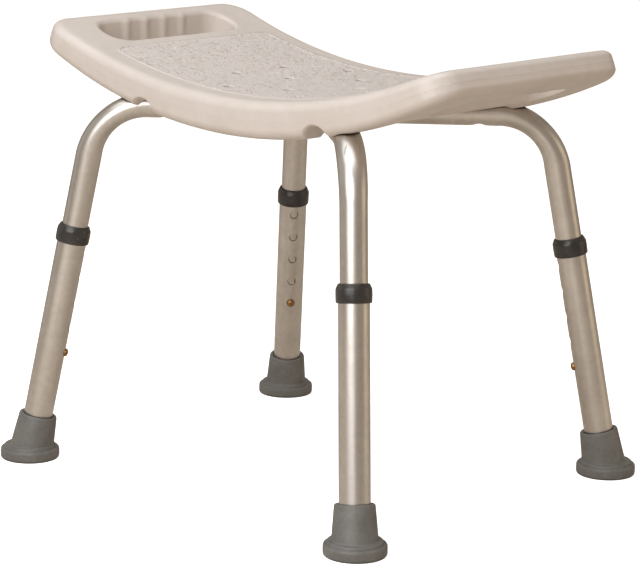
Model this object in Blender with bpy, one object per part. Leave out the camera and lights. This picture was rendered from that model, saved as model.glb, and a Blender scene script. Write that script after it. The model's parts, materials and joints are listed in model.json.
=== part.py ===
"""Height-adjustable shower stool, in metres, +Z up.

A moulded, upward-curving seat stands on two bent aluminium tubes that cross under its
centre. Each tube end telescopes in a lower leg tube and is held by a spring-loaded snap
button. The origin is on the floor, under the middle of the seat: X runs along the seat,
-Y is the front.
"""
import math

import bmesh
import bpy
from mathutils import Matrix, Vector

# ---------------------------------------------------------------- driving dimensions
FIT_GAP = 0.0003            # clearance between pieces that touch
CORNERS = {"front_left": (-1, -1), "front_right": (1, -1), "back_left": (-1, 1), "back_right": (1, 1)}

# Seat: a slab that is drawn flat, then bent along X to an arc
SEAT_HALF_LENGTH = 0.2585   # along the arc
SEAT_HALF_WIDTH = 0.1360
SEAT_CORNER_RADIUS = 0.0295
SEAT_MID_THICKNESS = 0.036
SEAT_END_THICKNESS = 0.0262
SEAT_MID_HEIGHT = 0.3790    # top of the seat at its centre
SEAT_BEND_RADIUS = 0.632
SEAT_TOP_ROUND = 0.0105
SEAT_BOTTOM_ROUND = 0.0105
BEND_STRIP = 0.0320         # longest flat strip in the bent seat

# Seat features, in flat coordinates
SLOT_INNER, SLOT_OUTER = 0.198, 0.2405
SLOT_HALF_WIDTH = 0.086
SLOT_END_RADIUS = 0.019
SLOT_EDGE_ROUND = 0.005
FINGER_SCALLOPS = 5
FINGER_PITCH = 0.0257
FINGER_DEPTH = 0.0028
DRAIN_RADIUS = 0.0042
DRAIN_FLARE = 0.0024
DRAIN_QUADRANT = ((0.0845, 0.034), (0.0458, 0.0853), (0.0458, 0.0), (0.0, 0.051))
RECESS_HALF_LENGTH, RECESS_HALF_WIDTH = 0.186, 0.1085
RECESS_DEPTH, RECESS_CORNER = 0.004, 0.018
NOTCH_X, NOTCH_RADIUS, NOTCH_CENTRE_Z = 0.1125, 0.0155, 0.3500
NOTCH_INNER_Y, NOTCH_OUTER_Y = 0.088, 0.150
GROOVE_DEPTH = 0.016        # below the crossbar's axis, clear of the underside
CUT_MARGIN = 0.004          # how far a cutter stands out of what it cuts

# Frame tubes
TUBE_SIDES = 16
UPPER_TUBE_RADIUS, UPPER_TUBE_WALL = 0.0127, 0.0013
LOWER_TUBE_RADIUS, LOWER_TUBE_WALL = 0.0143, 0.00125
CROSSBAR_HEIGHT = 0.356     # axis of the level part
BEND_RADIUS = 0.061
BEND_SQUASH = 0.0014        # ovalising in the bends
BEND_STEPS = 6
FOOT_RADIUS = 0.2855        # floor centre to foot centre
FOOT_BEARING = math.radians(40.44)
LEG_LEAN = math.atan(0.192)
CENTRE_FLAT_HALF_HEIGHT = 0.0061
CENTRE_FLAT_REACH, CENTRE_FLAT_END = 0.024, 0.047
SCREW_RADIUS_OUT = 0.150    # stool centre to seat screw
DENT_DEPTH, DENT_REACH = 0.0011, 0.011

# Telescopic legs, measured along each leg from the floor
HOLE_PITCH = 0.0254
HOLE_COUNT = 5
BUTTON_HEIGHT = 0.112
BUTTON_RADIUS = 0.0040
HOLE_RADIUS = 0.0044
BUTTON_PROUD = 0.0030
UPPER_TUBE_END = 0.062
LOWER_TUBE_START, LOWER_TUBE_END = 0.0106, 0.2383
COLLAR_START, COLLAR_END = 0.2228, 0.2403
COLLAR_RADIUS = 0.0166
TIP_SLEEVE_BOTTOM_RADIUS, TIP_SLEEVE_TOP_RADIUS = 0.0215, 0.0187
TIP_SLEEVE_TOP, TIP_FLOOR = 0.0450, 0.0085
TIP_FLANGE_RADIUS, TIP_FLANGE_HEIGHT = 0.0290, 0.0135
TIP_TREAD_GROOVE = (0.0115, 0.0155, 0.0012)     # inner radius, outer radius, depth
TIP_WASHER_BORE = 0.004
BUTTON_DOME = 0.0022
SPRING_ARM_NEAR, SPRING_ARM_FAR = 0.0096, -0.0102   # from the leg's axis
SPRING_HALF_WIDTH, SPRING_THICKNESS = 0.0035, 0.0007
SPRING_BEND_RADIUS, SPRING_BEND_DROP = 0.0040, 0.032    # the bend's drop is below the button

# Fasteners
ACCESS_HOLE_RADIUS = 0.0064
SCREW_SHANK_RADIUS = 0.0025
SCREW_HEAD_RADIUS, SCREW_HEAD_HEIGHT = 0.0044, 0.0030
SCREW_HOLE_RADIUS = 0.0031
WASHER_RADIUS, WASHER_THICKNESS = 0.0055, 0.0010
WASHER_TOP = 0.0088         # above the crossbar's axis
SCREW_RECESS_RADIUS, SCREW_RECESS_DEPTH = 0.0016, 0.0016
INSERT_RADIUS, INSERT_LENGTH = 0.0042, 0.0120
RIVET_RADIUS, RIVET_HEAD_RADIUS, RIVET_HEAD_HEIGHT = 0.0032, 0.0070, 0.0016
RIVET_WASHER_THICKNESS = 0.0008
RIVET_POCKET_GAP, RIVET_POCKET_TOP = 0.0015, 0.0158

OUTWARD = Vector((math.cos(FOOT_BEARING), math.sin(FOOT_BEARING), 0.0))


# ---------------------------------------------------------------- general helpers
def clear_scene():
    """Remove every object."""
    for obj in list(bpy.data.objects):
        bpy.data.objects.remove(obj, do_unlink=True)


def make_material(name, color, roughness, metallic=0.0):
    """Return a Principled material."""
    material = bpy.data.materials.new(name)
    material.use_nodes = True
    shader = material.node_tree.nodes["Principled BSDF"]
    shader.inputs["Base Color"].default_value = (*color, 1.0)
    shader.inputs["Roughness"].default_value = roughness
    shader.inputs["Metallic"].default_value = metallic
    return material


def add_object(name, bm, material=None, parent=None):
    """Turn a bmesh into an object in its parent's frame."""
    mesh = bpy.data.meshes.new(name)
    bm.to_mesh(mesh)
    bm.free()
    mesh.shade_smooth()
    mesh.set_sharp_from_angle(angle=math.radians(35))
    if material:
        mesh.materials.append(material)
    obj = bpy.data.objects.new(name, mesh)
    bpy.context.collection.objects.link(obj)
    obj.parent = parent
    return obj


def add_cutter(name, bm, parent=None):
    """Add a body that only shapes another one."""
    cutter = add_object(name, bm, parent=parent)
    cutter.hide_render = True
    cutter.display_type = "WIRE"
    return cutter


def combine(target, tool, operation="DIFFERENCE"):
    """Cut, or with UNION join, target with tool."""
    modifier = target.modifiers.new(f"{operation.lower()} {tool.name}", "BOOLEAN")
    modifier.solver = "EXACT"
    modifier.operation = operation
    modifier.object = tool


def evaluated_bmesh(obj):
    """Return a bmesh of an object with its modifiers applied."""
    depsgraph = bpy.context.evaluated_depsgraph_get()
    bm = bmesh.new()
    bm.from_object(obj, depsgraph)
    return bm


def loft(rings, closed=False):
    """Skin rings of points in order: capped at both ends, or closed last to first."""
    bm = bmesh.new()
    loops = [[bm.verts.new(point) for point in ring] for ring in rings]
    pairs = list(zip(loops, loops[1:]))
    if closed:
        pairs.append((loops[-1], loops[0]))
    else:
        bm.faces.new(loops[0])
        bm.faces.new(loops[-1])
    for low, high in pairs:
        for i, vertex in enumerate(low):
            j = (i + 1) % len(low)
            bm.faces.new((vertex, low[j], high[j], high[i]))
    bmesh.ops.recalc_face_normals(bm, faces=bm.faces)
    return bm


def lathe(profile, sides=TUBE_SIDES):
    """Turn (radius, height) points about Z. A ring's profile ends where it starts."""
    bm = bmesh.new()
    start = Matrix.Rotation(math.pi / sides, 3, "Z")
    verts = [bm.verts.new(start @ Vector((radius, 0.0, height))) for radius, height in profile]
    edges = [bm.edges.new(pair) for pair in zip(verts, verts[1:])]
    bmesh.ops.spin(bm, geom=verts + edges, cent=(0, 0, 0), axis=(0, 0, 1),
                   angle=2 * math.pi, steps=sides)
    bmesh.ops.remove_doubles(bm, verts=bm.verts, dist=1e-6)
    bmesh.ops.recalc_face_normals(bm, faces=bm.faces)
    return bm


def cylinder(radius, bottom, top, sides=12):
    """Return an upright cylinder."""
    return lathe([(0, bottom), (radius, bottom), (radius, top), (0, top)], sides)


def washer_bm(inner, outer, bottom, top, sides=12):
    """Return an upright plain ring."""
    return lathe([(inner, bottom), (outer, bottom), (outer, top), (inner, top), (inner, bottom)], sides)


def merge_into(bm, other, matrix=Matrix.Identity(4)):
    """Move a bmesh by matrix and add it to another as a separate body."""
    mesh = bpy.data.meshes.new("merge")
    other.transform(matrix)
    other.to_mesh(mesh)
    other.free()
    bm.from_mesh(mesh)
    bpy.data.meshes.remove(mesh)


def arc_points(centre, radius, start, end, steps):
    """Return points on a plane arc, angles in radians, both ends included."""
    angles = [start + (end - start) * i / steps for i in range(steps + 1)]
    return [(centre[0] + radius * math.cos(a), centre[1] + radius * math.sin(a)) for a in angles]


def smooth_step(value):
    """Ease 0..1."""
    value = min(max(value, 0.0), 1.0)
    return value * value * (3 - 2 * value)


# ---------------------------------------------------------------- seat
def rounded_rectangle(half_x, half_y, radius, steps=5):
    """Return the outline of a rectangle with round corners."""
    outline = []
    for quarter, (sx, sy) in enumerate(((1, 1), (-1, 1), (-1, -1), (1, -1))):
        centre = (sx * (half_x - radius), sy * (half_y - radius))
        start = quarter * math.pi / 2
        outline += arc_points(centre, radius, start, start + math.pi / 2, steps)
    return outline


def handle_outline(offset):
    """Return the right handle slot's outline, grown by offset, with its finger scallops."""
    inner, outer = SLOT_INNER - offset, SLOT_OUTER + offset
    radius = SLOT_END_RADIUS + offset
    end_y = SLOT_HALF_WIDTH + offset - radius
    quarter = math.pi / 2
    outline = arc_points((inner + radius, end_y), radius, 2 * quarter, quarter, 4)
    outline += arc_points((outer - radius, end_y), radius, quarter, 0.0, 4)
    steps = 4
    first = FINGER_SCALLOPS * FINGER_PITCH / 2
    for i in range(1, FINGER_SCALLOPS * steps):
        ridge = FINGER_DEPTH * math.cos(math.pi * i / steps) ** 4
        outline.append((outer - ridge, first - FINGER_PITCH * i / steps))
    outline += arc_points((outer - radius, -end_y), radius, 0.0, -quarter, 4)
    outline += arc_points((inner + radius, -end_y), radius, -quarter, -2 * quarter, 4)
    return outline


def hole_levels(round_radius, steps):
    """Return (height, growth) pairs for a hole down through the slab with a rounded top edge."""
    levels = [(-SEAT_MID_THICKNESS - CUT_MARGIN, 0.0)]
    for i in range(steps + 1):
        angle = math.pi / 2 * (1 - i / steps)
        levels.append((-round_radius * (1 - math.cos(angle)), round_radius * (1 - math.sin(angle))))
    levels.append((CUT_MARGIN, round_radius))
    return levels


def thickness_ratio(along):
    """Return the seat's thickness at a place along its arc, as a share of the middle's."""
    end_ratio = SEAT_END_THICKNESS / SEAT_MID_THICKNESS
    return 1 + (end_ratio - 1) * (along / SEAT_HALF_LENGTH) ** 2


def stand_upright(bm):
    """Slant a flat cutter so that its upright walls are upright again once the seat is bent."""
    for vertex in bm.verts:
        along = vertex.co.x
        depth = -vertex.co.z * thickness_ratio(along)
        share = SEAT_BEND_RADIUS / (SEAT_BEND_RADIUS + depth)
        vertex.co.x = SEAT_BEND_RADIUS * math.asin(share * math.sin(along / SEAT_BEND_RADIUS))
    return bm


def handle_cutter(side):
    """Return the body of one handle slot, side being 1 for the right end and -1 for the left."""
    rings = []
    for height, growth in hole_levels(SLOT_EDGE_ROUND, 2):
        rings.append([Vector((side * x, y, height)) for x, y in handle_outline(growth)])
    return stand_upright(loft(rings))


def drain_cutter():
    """Return the flared drain holes, one quadrant of them mirrored both ways."""
    places = {(sx * x, sy * y) for x, y in DRAIN_QUADRANT for sx in (-1, 1) for sy in (-1, 1)}
    bm = bmesh.new()
    for x, y in sorted(places):
        levels = hole_levels(DRAIN_FLARE, 1)
        sides = [(DRAIN_RADIUS + growth, height) for height, growth in levels]
        hole = lathe([(0, levels[0][0])] + sides + [(0, levels[-1][0])], 8)
        merge_into(bm, hole, Matrix.Translation((x, y, 0)))
    return stand_upright(bm)


def recess_cutter():
    """Return the shallow recess of the underside, with a sloping wall."""
    rings = []
    for height, growth in ((-0.002, 0.0), (0.0, 0.0), (RECESS_DEPTH, -RECESS_DEPTH)):
        outline = rounded_rectangle(RECESS_HALF_LENGTH + growth, RECESS_HALF_WIDTH + growth,
                                    RECESS_CORNER, 3)
        rings.append([Vector((x, y, height - SEAT_MID_THICKNESS)) for x, y in outline])
    return loft(rings)


def flat_slab():
    """Return the flat seat blank: top at Z 0, round corners and rounded rims."""
    outline = rounded_rectangle(SEAT_HALF_LENGTH, SEAT_HALF_WIDTH, SEAT_CORNER_RADIUS)
    bm = loft([[Vector((x, y, z)) for x, y in outline] for z in (-SEAT_MID_THICKNESS, 0.0)])
    for height, width in ((0.0, SEAT_TOP_ROUND), (-SEAT_MID_THICKNESS, SEAT_BOTTOM_ROUND)):
        rim = [e for e in bm.edges if all(abs(v.co.z - height) < 1e-5 for v in e.verts)]
        bmesh.ops.bevel(bm, geom=rim, offset=width, segments=3, profile=0.5, affect="EDGES")
    return bm


def bend_seat(bm):
    """Bend the flat seat upwards to an arc about Y and thin it towards its ends."""
    strips = math.ceil(SEAT_HALF_LENGTH / BEND_STRIP)
    for i in range(-strips, strips + 1):
        geometry = bm.verts[:] + bm.edges[:] + bm.faces[:]
        bmesh.ops.bisect_plane(bm, geom=geometry, dist=1e-6, plane_co=(i * BEND_STRIP, 0, 0),
                               plane_no=(1, 0, 0))
    bmesh.ops.dissolve_degenerate(bm, dist=1e-5, edges=bm.edges)
    for vertex in bm.verts:
        along = vertex.co.x
        depth = -vertex.co.z * thickness_ratio(along)
        angle = along / SEAT_BEND_RADIUS
        radius = SEAT_BEND_RADIUS + depth
        vertex.co.x = radius * math.sin(angle)
        vertex.co.z = SEAT_MID_HEIGHT + SEAT_BEND_RADIUS - radius * math.cos(angle)
    bmesh.ops.triangulate(bm, faces=bm.faces)


def channel_cutter(direction):
    """Return the groove that one crossbar lies in: an arch profile swept along its axis."""
    side = Vector((-direction.y, direction.x, 0.0))
    rings = []
    for point, tangent, flatness, _ in crossbar_stations(direction, with_legs=False):
        up = tangent.cross(side)
        radius = section_half_height(flatness) + 2 * FIT_GAP
        spread = flat_spread(flatness)
        lift = flatness * (CENTRE_FLAT_HALF_HEIGHT + FIT_GAP / 2)
        outline = [(-radius - spread, -GROOVE_DEPTH), (radius + spread, -GROOVE_DEPTH)]
        outline += [(x + math.copysign(spread, x), y + lift)
                    for x, y in arc_points((0, 0), radius, 0.0, math.pi, 9)]
        rings.append([point + side * x + up * y for x, y in outline])
    return loft(rings)


def notch_cutter():
    """Return the half-round grooves from the long rims in to the seat screws."""
    bm = bmesh.new()
    length = NOTCH_OUTER_Y - NOTCH_INNER_Y
    for sx, sy in CORNERS.values():
        groove = cylinder(NOTCH_RADIUS, -length / 2, length / 2, 20)
        middle = Vector((sx * NOTCH_X, sy * (NOTCH_INNER_Y + length / 2), NOTCH_CENTRE_Z))
        merge_into(bm, groove, Matrix.Translation(middle) @ Matrix.Rotation(math.pi / 2, 4, "X"))
    return bm


def fastener_pocket_cutter():
    """Return the blind bores of the threaded inserts and the pocket over the centre rivet."""
    bm = bmesh.new()
    start = CROSSBAR_HEIGHT + UPPER_TUBE_RADIUS - 0.003
    end = insert_bottom() + INSERT_LENGTH + FIT_GAP
    for corner in CORNERS:
        bore = cylinder(INSERT_RADIUS + 2 * FIT_GAP, start, end)
        merge_into(bm, bore, Matrix.Translation(screw_place(corner)))
    pocket = cylinder(RIVET_HEAD_RADIUS + RIVET_POCKET_GAP, start, CROSSBAR_HEIGHT + RIVET_POCKET_TOP, 16)
    merge_into(bm, pocket)
    return bm


def build_seat(material):
    """Make the seat: a flat blank with its openings, bent, then grooved for the frame."""
    blank = add_cutter("seat_blank", flat_slab())
    tools = [add_cutter("handle_slot_right", handle_cutter(1)),
             add_cutter("handle_slot_left", handle_cutter(-1)),
             add_cutter("drain_holes", drain_cutter()),
             add_cutter("underside_recess", recess_cutter())]
    for tool in tools:
        combine(blank, tool)
    bm = evaluated_bmesh(blank)
    bend_seat(bm)
    seat = add_object("seat", bm, material)
    combine(seat, add_cutter("crossbar_groove_a", channel_cutter(tube_direction(1))))
    combine(seat, add_cutter("crossbar_groove_b", channel_cutter(tube_direction(-1))))
    combine(seat, add_cutter("rim_notches", notch_cutter()))
    combine(seat, add_cutter("fastener_pockets", fastener_pocket_cutter()))


# ---------------------------------------------------------------- frame
def tube_direction(slope):
    """Return a crossbar's level direction: slope 1 runs back right, -1 runs front right."""
    return Vector((OUTWARD.x, slope * OUTWARD.y, 0.0))


def screw_place(corner):
    """Return where a corner's seat screw stands, at floor height."""
    sx, sy = CORNERS[corner]
    return Vector((sx * OUTWARD.x, sy * OUTWARD.y, 0.0)) * SCREW_RADIUS_OUT


def insert_bottom():
    """Return the height of the threaded inserts' lower ends."""
    return CROSSBAR_HEIGHT + UPPER_TUBE_RADIUS + 3 * FIT_GAP


def crossbar_half(with_legs):
    """Return half a crossbar in its own plane: (out, up, tangent angle, flatness, dent, squash)."""
    corner_out = FOOT_RADIUS - math.tan(LEG_LEAN) * CROSSBAR_HEIGHT
    turn = math.pi / 2 - LEG_LEAN
    bend_start = corner_out - BEND_RADIUS * math.tan(turn / 2)
    half = []
    flat_levels = 3
    for i in range(flat_levels + 1):
        ratio = i / flat_levels
        out = CENTRE_FLAT_REACH + (CENTRE_FLAT_END - CENTRE_FLAT_REACH) * ratio
        half.append((out, CROSSBAR_HEIGHT, 0.0, 1 - smooth_step(ratio), 0.0, 0.0))
    for offset in (-2, -1, 0, 1):
        out = SCREW_RADIUS_OUT + offset * DENT_REACH / 2
        half.append((out, CROSSBAR_HEIGHT, 0.0, 0.0, math.exp(-offset ** 2), 0.0))
    for i in range(BEND_STEPS + 1):
        angle = turn * i / BEND_STEPS
        out = bend_start + BEND_RADIUS * math.sin(angle)
        up = CROSSBAR_HEIGHT - BEND_RADIUS * (1 - math.cos(angle))
        half.append((out, up, -angle, 0.0, 0.0, math.sin(math.pi * i / BEND_STEPS)))
    if with_legs:
        out = FOOT_RADIUS - UPPER_TUBE_END * math.sin(LEG_LEAN)
        half.append((out, UPPER_TUBE_END * math.cos(LEG_LEAN), -turn, 0.0, 0.0, 0.0))
    return half


def crossbar_stations(direction, with_legs=True):
    """Return a whole crossbar's (point, tangent, flatness, (dent, squash)), end to end."""
    stations = []
    half = crossbar_half(with_legs)
    for sign, part in ((-1, reversed(half)), (1, half)):
        for out, up, angle, flatness, dent, squash in part:
            point = direction * (sign * out) + Vector((0, 0, up))
            tangent = direction * math.cos(angle) + Vector((0, 0, sign * math.sin(angle)))
            stations.append((point, tangent, flatness, (dent, squash)))
    return stations


def section_half_height(flatness):
    """Return half the height of a crossbar's section, from round (0) to flattened (1)."""
    return UPPER_TUBE_RADIUS + (CENTRE_FLAT_HALF_HEIGHT - UPPER_TUBE_RADIUS) * flatness


def flat_spread(flatness):
    """Return half the flat width that keeps a flattened section's perimeter."""
    return (UPPER_TUBE_RADIUS - section_half_height(flatness)) * math.pi / 2


def crossbar_ring(direction, station, wall, lift):
    """Return one section of a crossbar: round, or flattened and lifted at the crossing."""
    point, tangent, flatness, (dent, squash) = station
    side = Vector((-direction.y, direction.x, 0.0))
    up = tangent.cross(side)
    half_height, spread = section_half_height(flatness), flat_spread(flatness)
    centre = point + up * lift * flatness * (CENTRE_FLAT_HALF_HEIGHT + FIT_GAP / 2)
    ring = []
    for i in range(TUBE_SIDES):
        angle = 2 * math.pi * (i + 0.5) / TUBE_SIDES
        across, rise = math.cos(angle), math.sin(angle)
        height = (half_height - BEND_SQUASH * squash - wall) * rise
        height += DENT_DEPTH * dent * rise * (rise if rise < 0 else -rise / 2)
        width = (half_height + BEND_SQUASH * squash / 2 - wall) * across + math.copysign(spread, across)
        ring.append(centre + side * width + up * height)
    return ring


def build_crossbar(name, slope, lift, material):
    """Make one bent tube that ends in two legs; lift is 1 where it crosses on top, else -1."""
    direction = tube_direction(slope)
    stations = crossbar_stations(direction)
    outer = [crossbar_ring(direction, station, 0.0, lift) for station in stations]
    inner = [crossbar_ring(direction, station, UPPER_TUBE_WALL, lift) for station in reversed(stations)]
    tube = add_object(name, loft(outer + inner, closed=True), material)
    drill = bmesh.new()
    for corner, (sx, sy) in CORNERS.items():
        if sx * sy != slope:
            continue
        place = Matrix.Translation(screw_place(corner) + Vector((0, 0, CROSSBAR_HEIGHT)))
        merge_into(drill, cylinder(ACCESS_HOLE_RADIUS, -0.020, -0.004, 16), place)
        merge_into(drill, cylinder(SCREW_HOLE_RADIUS, 0.004, 0.020), place)
        button_axis = leg_matrix(corner) @ Matrix.Translation((0, 0, BUTTON_HEIGHT))
        bore = cylinder(HOLE_RADIUS, 0.004, 0.016)
        merge_into(drill, bore, button_axis @ Matrix.Rotation(math.pi / 2, 4, "Y"))
    rivet_hole = cylinder(RIVET_RADIUS + FIT_GAP, -0.030, 0.030)
    merge_into(drill, rivet_hole, Matrix.Translation((0, 0, CROSSBAR_HEIGHT)))
    combine(tube, add_cutter(f"{name}_drill", drill))


def build_centre_rivet(material):
    """Make the rivet through the crossing and the washer under its upper head."""
    stack = 2 * CENTRE_FLAT_HALF_HEIGHT + FIT_GAP / 2
    head, washer = RIVET_HEAD_HEIGHT, RIVET_WASHER_THICKNESS
    low = CROSSBAR_HEIGHT - stack - FIT_GAP
    high = CROSSBAR_HEIGHT + stack + FIT_GAP
    top = high + washer + FIT_GAP
    profile = [(0, low - head), (RIVET_HEAD_RADIUS * 0.7, low - head),
               (RIVET_HEAD_RADIUS, low - head * 0.3), (RIVET_HEAD_RADIUS, low), (RIVET_RADIUS, low),
               (RIVET_RADIUS, top), (RIVET_HEAD_RADIUS * 0.8, top),
               (RIVET_HEAD_RADIUS * 0.7, top + head * 0.6), (0, top + head * 0.6)]
    add_object("centre_rivet", lathe(profile), material)
    ring = washer_bm(RIVET_RADIUS + FIT_GAP, RIVET_HEAD_RADIUS, high, high + washer, 16)
    add_object("centre_rivet_washer", ring, material)


def build_seat_fasteners(corner, steel, brass):
    """Make one corner's seat screw, its washer inside the tube and the insert in the seat."""
    holder = bpy.data.objects.new(f"seat_screw_axis_{corner}", None)
    bpy.context.collection.objects.link(holder)
    holder.location = screw_place(corner)
    washer_top = CROSSBAR_HEIGHT + WASHER_TOP
    washer_bottom = washer_top - WASHER_THICKNESS
    head_top = washer_bottom - FIT_GAP
    head_bottom = head_top - SCREW_HEAD_HEIGHT
    end = insert_bottom() + INSERT_LENGTH - 0.001
    recess, recess_radius = SCREW_RECESS_DEPTH, SCREW_RECESS_RADIUS
    profile = [(0, head_bottom + recess), (recess_radius, head_bottom + recess),
               (recess_radius, head_bottom), (SCREW_HEAD_RADIUS * 0.8, head_bottom),
               (SCREW_HEAD_RADIUS, head_bottom + 0.001), (SCREW_HEAD_RADIUS, head_top),
               (SCREW_SHANK_RADIUS, head_top), (SCREW_SHANK_RADIUS, end - 0.0008),
               (SCREW_SHANK_RADIUS - 0.0008, end), (0, end)]
    add_object(f"seat_screw_{corner}", lathe(profile, 12), steel, holder)
    ring = washer_bm(SCREW_SHANK_RADIUS + 2 * FIT_GAP, WASHER_RADIUS, washer_bottom, washer_top)
    add_object(f"seat_washer_{corner}", ring, steel, holder)
    sleeve = washer_bm(SCREW_SHANK_RADIUS + FIT_GAP, INSERT_RADIUS, insert_bottom(),
                       insert_bottom() + INSERT_LENGTH - FIT_GAP)
    add_object(f"seat_insert_{corner}", sleeve, brass, holder)


# ---------------------------------------------------------------- telescopic legs
def leg_matrix(corner):
    """Return a leg's frame: origin at its foot, Z up the leg, X towards the stool's middle."""
    sx, sy = CORNERS[corner]
    outward = Vector((sx * OUTWARD.x, sy * OUTWARD.y, 0.0))
    upward = Vector((0, 0, math.cos(LEG_LEAN))) - outward * math.sin(LEG_LEAN)
    inward = -outward * math.cos(LEG_LEAN) - Vector((0, 0, math.sin(LEG_LEAN)))
    matrix = Matrix((inward, upward.cross(inward), upward)).transposed().to_4x4()
    matrix.translation = outward * FOOT_RADIUS
    return matrix


def add_leg_axis(corner):
    """Add the empty that carries a leg's pieces on its slide axis."""
    axis = bpy.data.objects.new(f"leg_axis_{corner}", None)
    bpy.context.collection.objects.link(axis)
    axis.matrix_world = leg_matrix(corner)
    return axis


def build_leg_tube(corner, axis, material):
    """Make a lower leg tube with its row of adjustment holes on the inner side."""
    bore = LOWER_TUBE_RADIUS - LOWER_TUBE_WALL
    tube = add_object(f"leg_tube_{corner}", washer_bm(bore, LOWER_TUBE_RADIUS, LOWER_TUBE_START,
                                                      LOWER_TUBE_END, TUBE_SIDES), material, axis)
    drill = bmesh.new()
    for i in range(HOLE_COUNT):
        place = Matrix.Translation((0, 0, BUTTON_HEIGHT + i * HOLE_PITCH))
        merge_into(drill, cylinder(HOLE_RADIUS, 0.006, 0.020), place @ Matrix.Rotation(math.pi / 2, 4, "Y"))
    combine(tube, add_cutter(f"leg_tube_{corner}_drill", drill, axis))


def build_collar(corner, axis, material):
    """Make the guide collar on a lower tube's upper end."""
    bore = LOWER_TUBE_RADIUS + FIT_GAP
    guide = UPPER_TUBE_RADIUS + FIT_GAP + 0.0001
    profile = [(bore, COLLAR_START), (COLLAR_RADIUS - 0.0012, COLLAR_START),
               (COLLAR_RADIUS, COLLAR_START + 0.0014), (COLLAR_RADIUS, COLLAR_END - 0.0038),
               (COLLAR_RADIUS - 0.0022, COLLAR_END), (guide, COLLAR_END),
               (guide, LOWER_TUBE_END + FIT_GAP), (bore, LOWER_TUBE_END + FIT_GAP), (bore, COLLAR_START)]
    add_object(f"leg_collar_{corner}", lathe(profile), material, axis)


def build_tip(corner, axis, rubber, steel):
    """Make a rubber tip, its sleeve along the leg and its flange flat on the floor."""
    sleeve_profile = [(0, 0.007), (TIP_SLEEVE_BOTTOM_RADIUS, 0.010),
                      (TIP_SLEEVE_TOP_RADIUS, TIP_SLEEVE_TOP - 0.0016),
                      (TIP_SLEEVE_TOP_RADIUS - 0.0014, TIP_SLEEVE_TOP), (0, TIP_SLEEVE_TOP)]
    sleeve = add_cutter(f"tip_sleeve_{corner}", lathe(sleeve_profile), axis)
    bore_radius = (LOWER_TUBE_RADIUS + FIT_GAP) / math.cos(math.pi / TUBE_SIDES)
    bore = add_cutter(f"tip_bore_{corner}", cylinder(bore_radius, TIP_FLOOR, 0.060, TUBE_SIDES), axis)
    radius, height = TIP_FLANGE_RADIUS, TIP_FLANGE_HEIGHT
    inner, outer, depth = TIP_TREAD_GROOVE
    tread = [(inner, 0.0), (inner + 0.0005, depth), (outer - 0.0005, depth), (outer, 0.0)]
    flange_profile = [(0, 0)] + tread + [
        (radius - 0.0012, 0), (radius, 0.0015), (radius, height - 0.0043), (radius - 0.0012, height - 0.0029),
        (radius - 0.0032, height - 0.0028), (radius - 0.0036, height - 0.0006), (radius - 0.0048, height),
        (0, height)]
    foot = leg_matrix(corner).translation
    tip = add_object(f"rubber_tip_{corner}", lathe(flange_profile), rubber)
    tip.location = foot
    combine(tip, sleeve, "UNION")
    combine(tip, bore)
    disc = washer_bm(TIP_WASHER_BORE, LOWER_TUBE_RADIUS - FIT_GAP, TIP_FLOOR + FIT_GAP,
                     LOWER_TUBE_START - FIT_GAP, 16)
    add_object(f"tip_washer_{corner}", disc, steel, axis)


def build_button(corner, axis, material):
    """Make a snap button, whose object stands on its press axis."""
    shoulder = LOWER_TUBE_RADIUS + BUTTON_PROUD - BUTTON_DOME
    base = UPPER_TUBE_RADIUS - UPPER_TUBE_WALL - 0.0008
    profile = [(0, base), (BUTTON_RADIUS, base), (BUTTON_RADIUS, shoulder)]
    for i in range(1, 4):
        angle = math.pi / 2 * i / 3
        profile.append((BUTTON_RADIUS * math.cos(angle), shoulder + BUTTON_DOME * math.sin(angle)))
    profile[-1] = (0, shoulder + BUTTON_DOME)
    button = add_object(f"snap_button_{corner}", lathe(profile, 12), material, axis)
    button.location = (0, 0, BUTTON_HEIGHT)
    button.rotation_euler = (0, math.pi / 2, 0)


def build_spring(corner, axis, material):
    """Make the V spring inside an upper tube: a bent strip that carries the button."""
    apex = (0.0, BUTTON_HEIGHT - SPRING_BEND_DROP)
    route = [Vector((SPRING_ARM_NEAR, BUTTON_HEIGHT + 0.009)), Vector((SPRING_ARM_NEAR, BUTTON_HEIGHT - 0.008)),
             Vector((SPRING_BEND_RADIUS + 0.0002, apex[1] + 0.001))]
    route += [Vector(p) for p in arc_points(apex, SPRING_BEND_RADIUS, 0.0, -math.pi, 4)]
    route += [Vector((-SPRING_BEND_RADIUS - 0.0002, apex[1] + 0.001)),
              Vector((SPRING_ARM_FAR, BUTTON_HEIGHT - 0.006)), Vector((SPRING_ARM_FAR, BUTTON_HEIGHT + 0.006))]
    rings = []
    for i, point in enumerate(route):
        before, after = route[max(i - 1, 0)], route[min(i + 1, len(route) - 1)]
        normal = (after - before).normalized().orthogonal() * SPRING_THICKNESS / 2
        one, other, width = point + normal, point - normal, SPRING_HALF_WIDTH
        rings.append([Vector((p.x, y, p.y))
                      for p, y in ((one, -width), (other, -width), (other, width), (one, width))])
    add_object(f"snap_spring_{corner}", loft(rings), material, axis)


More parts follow.
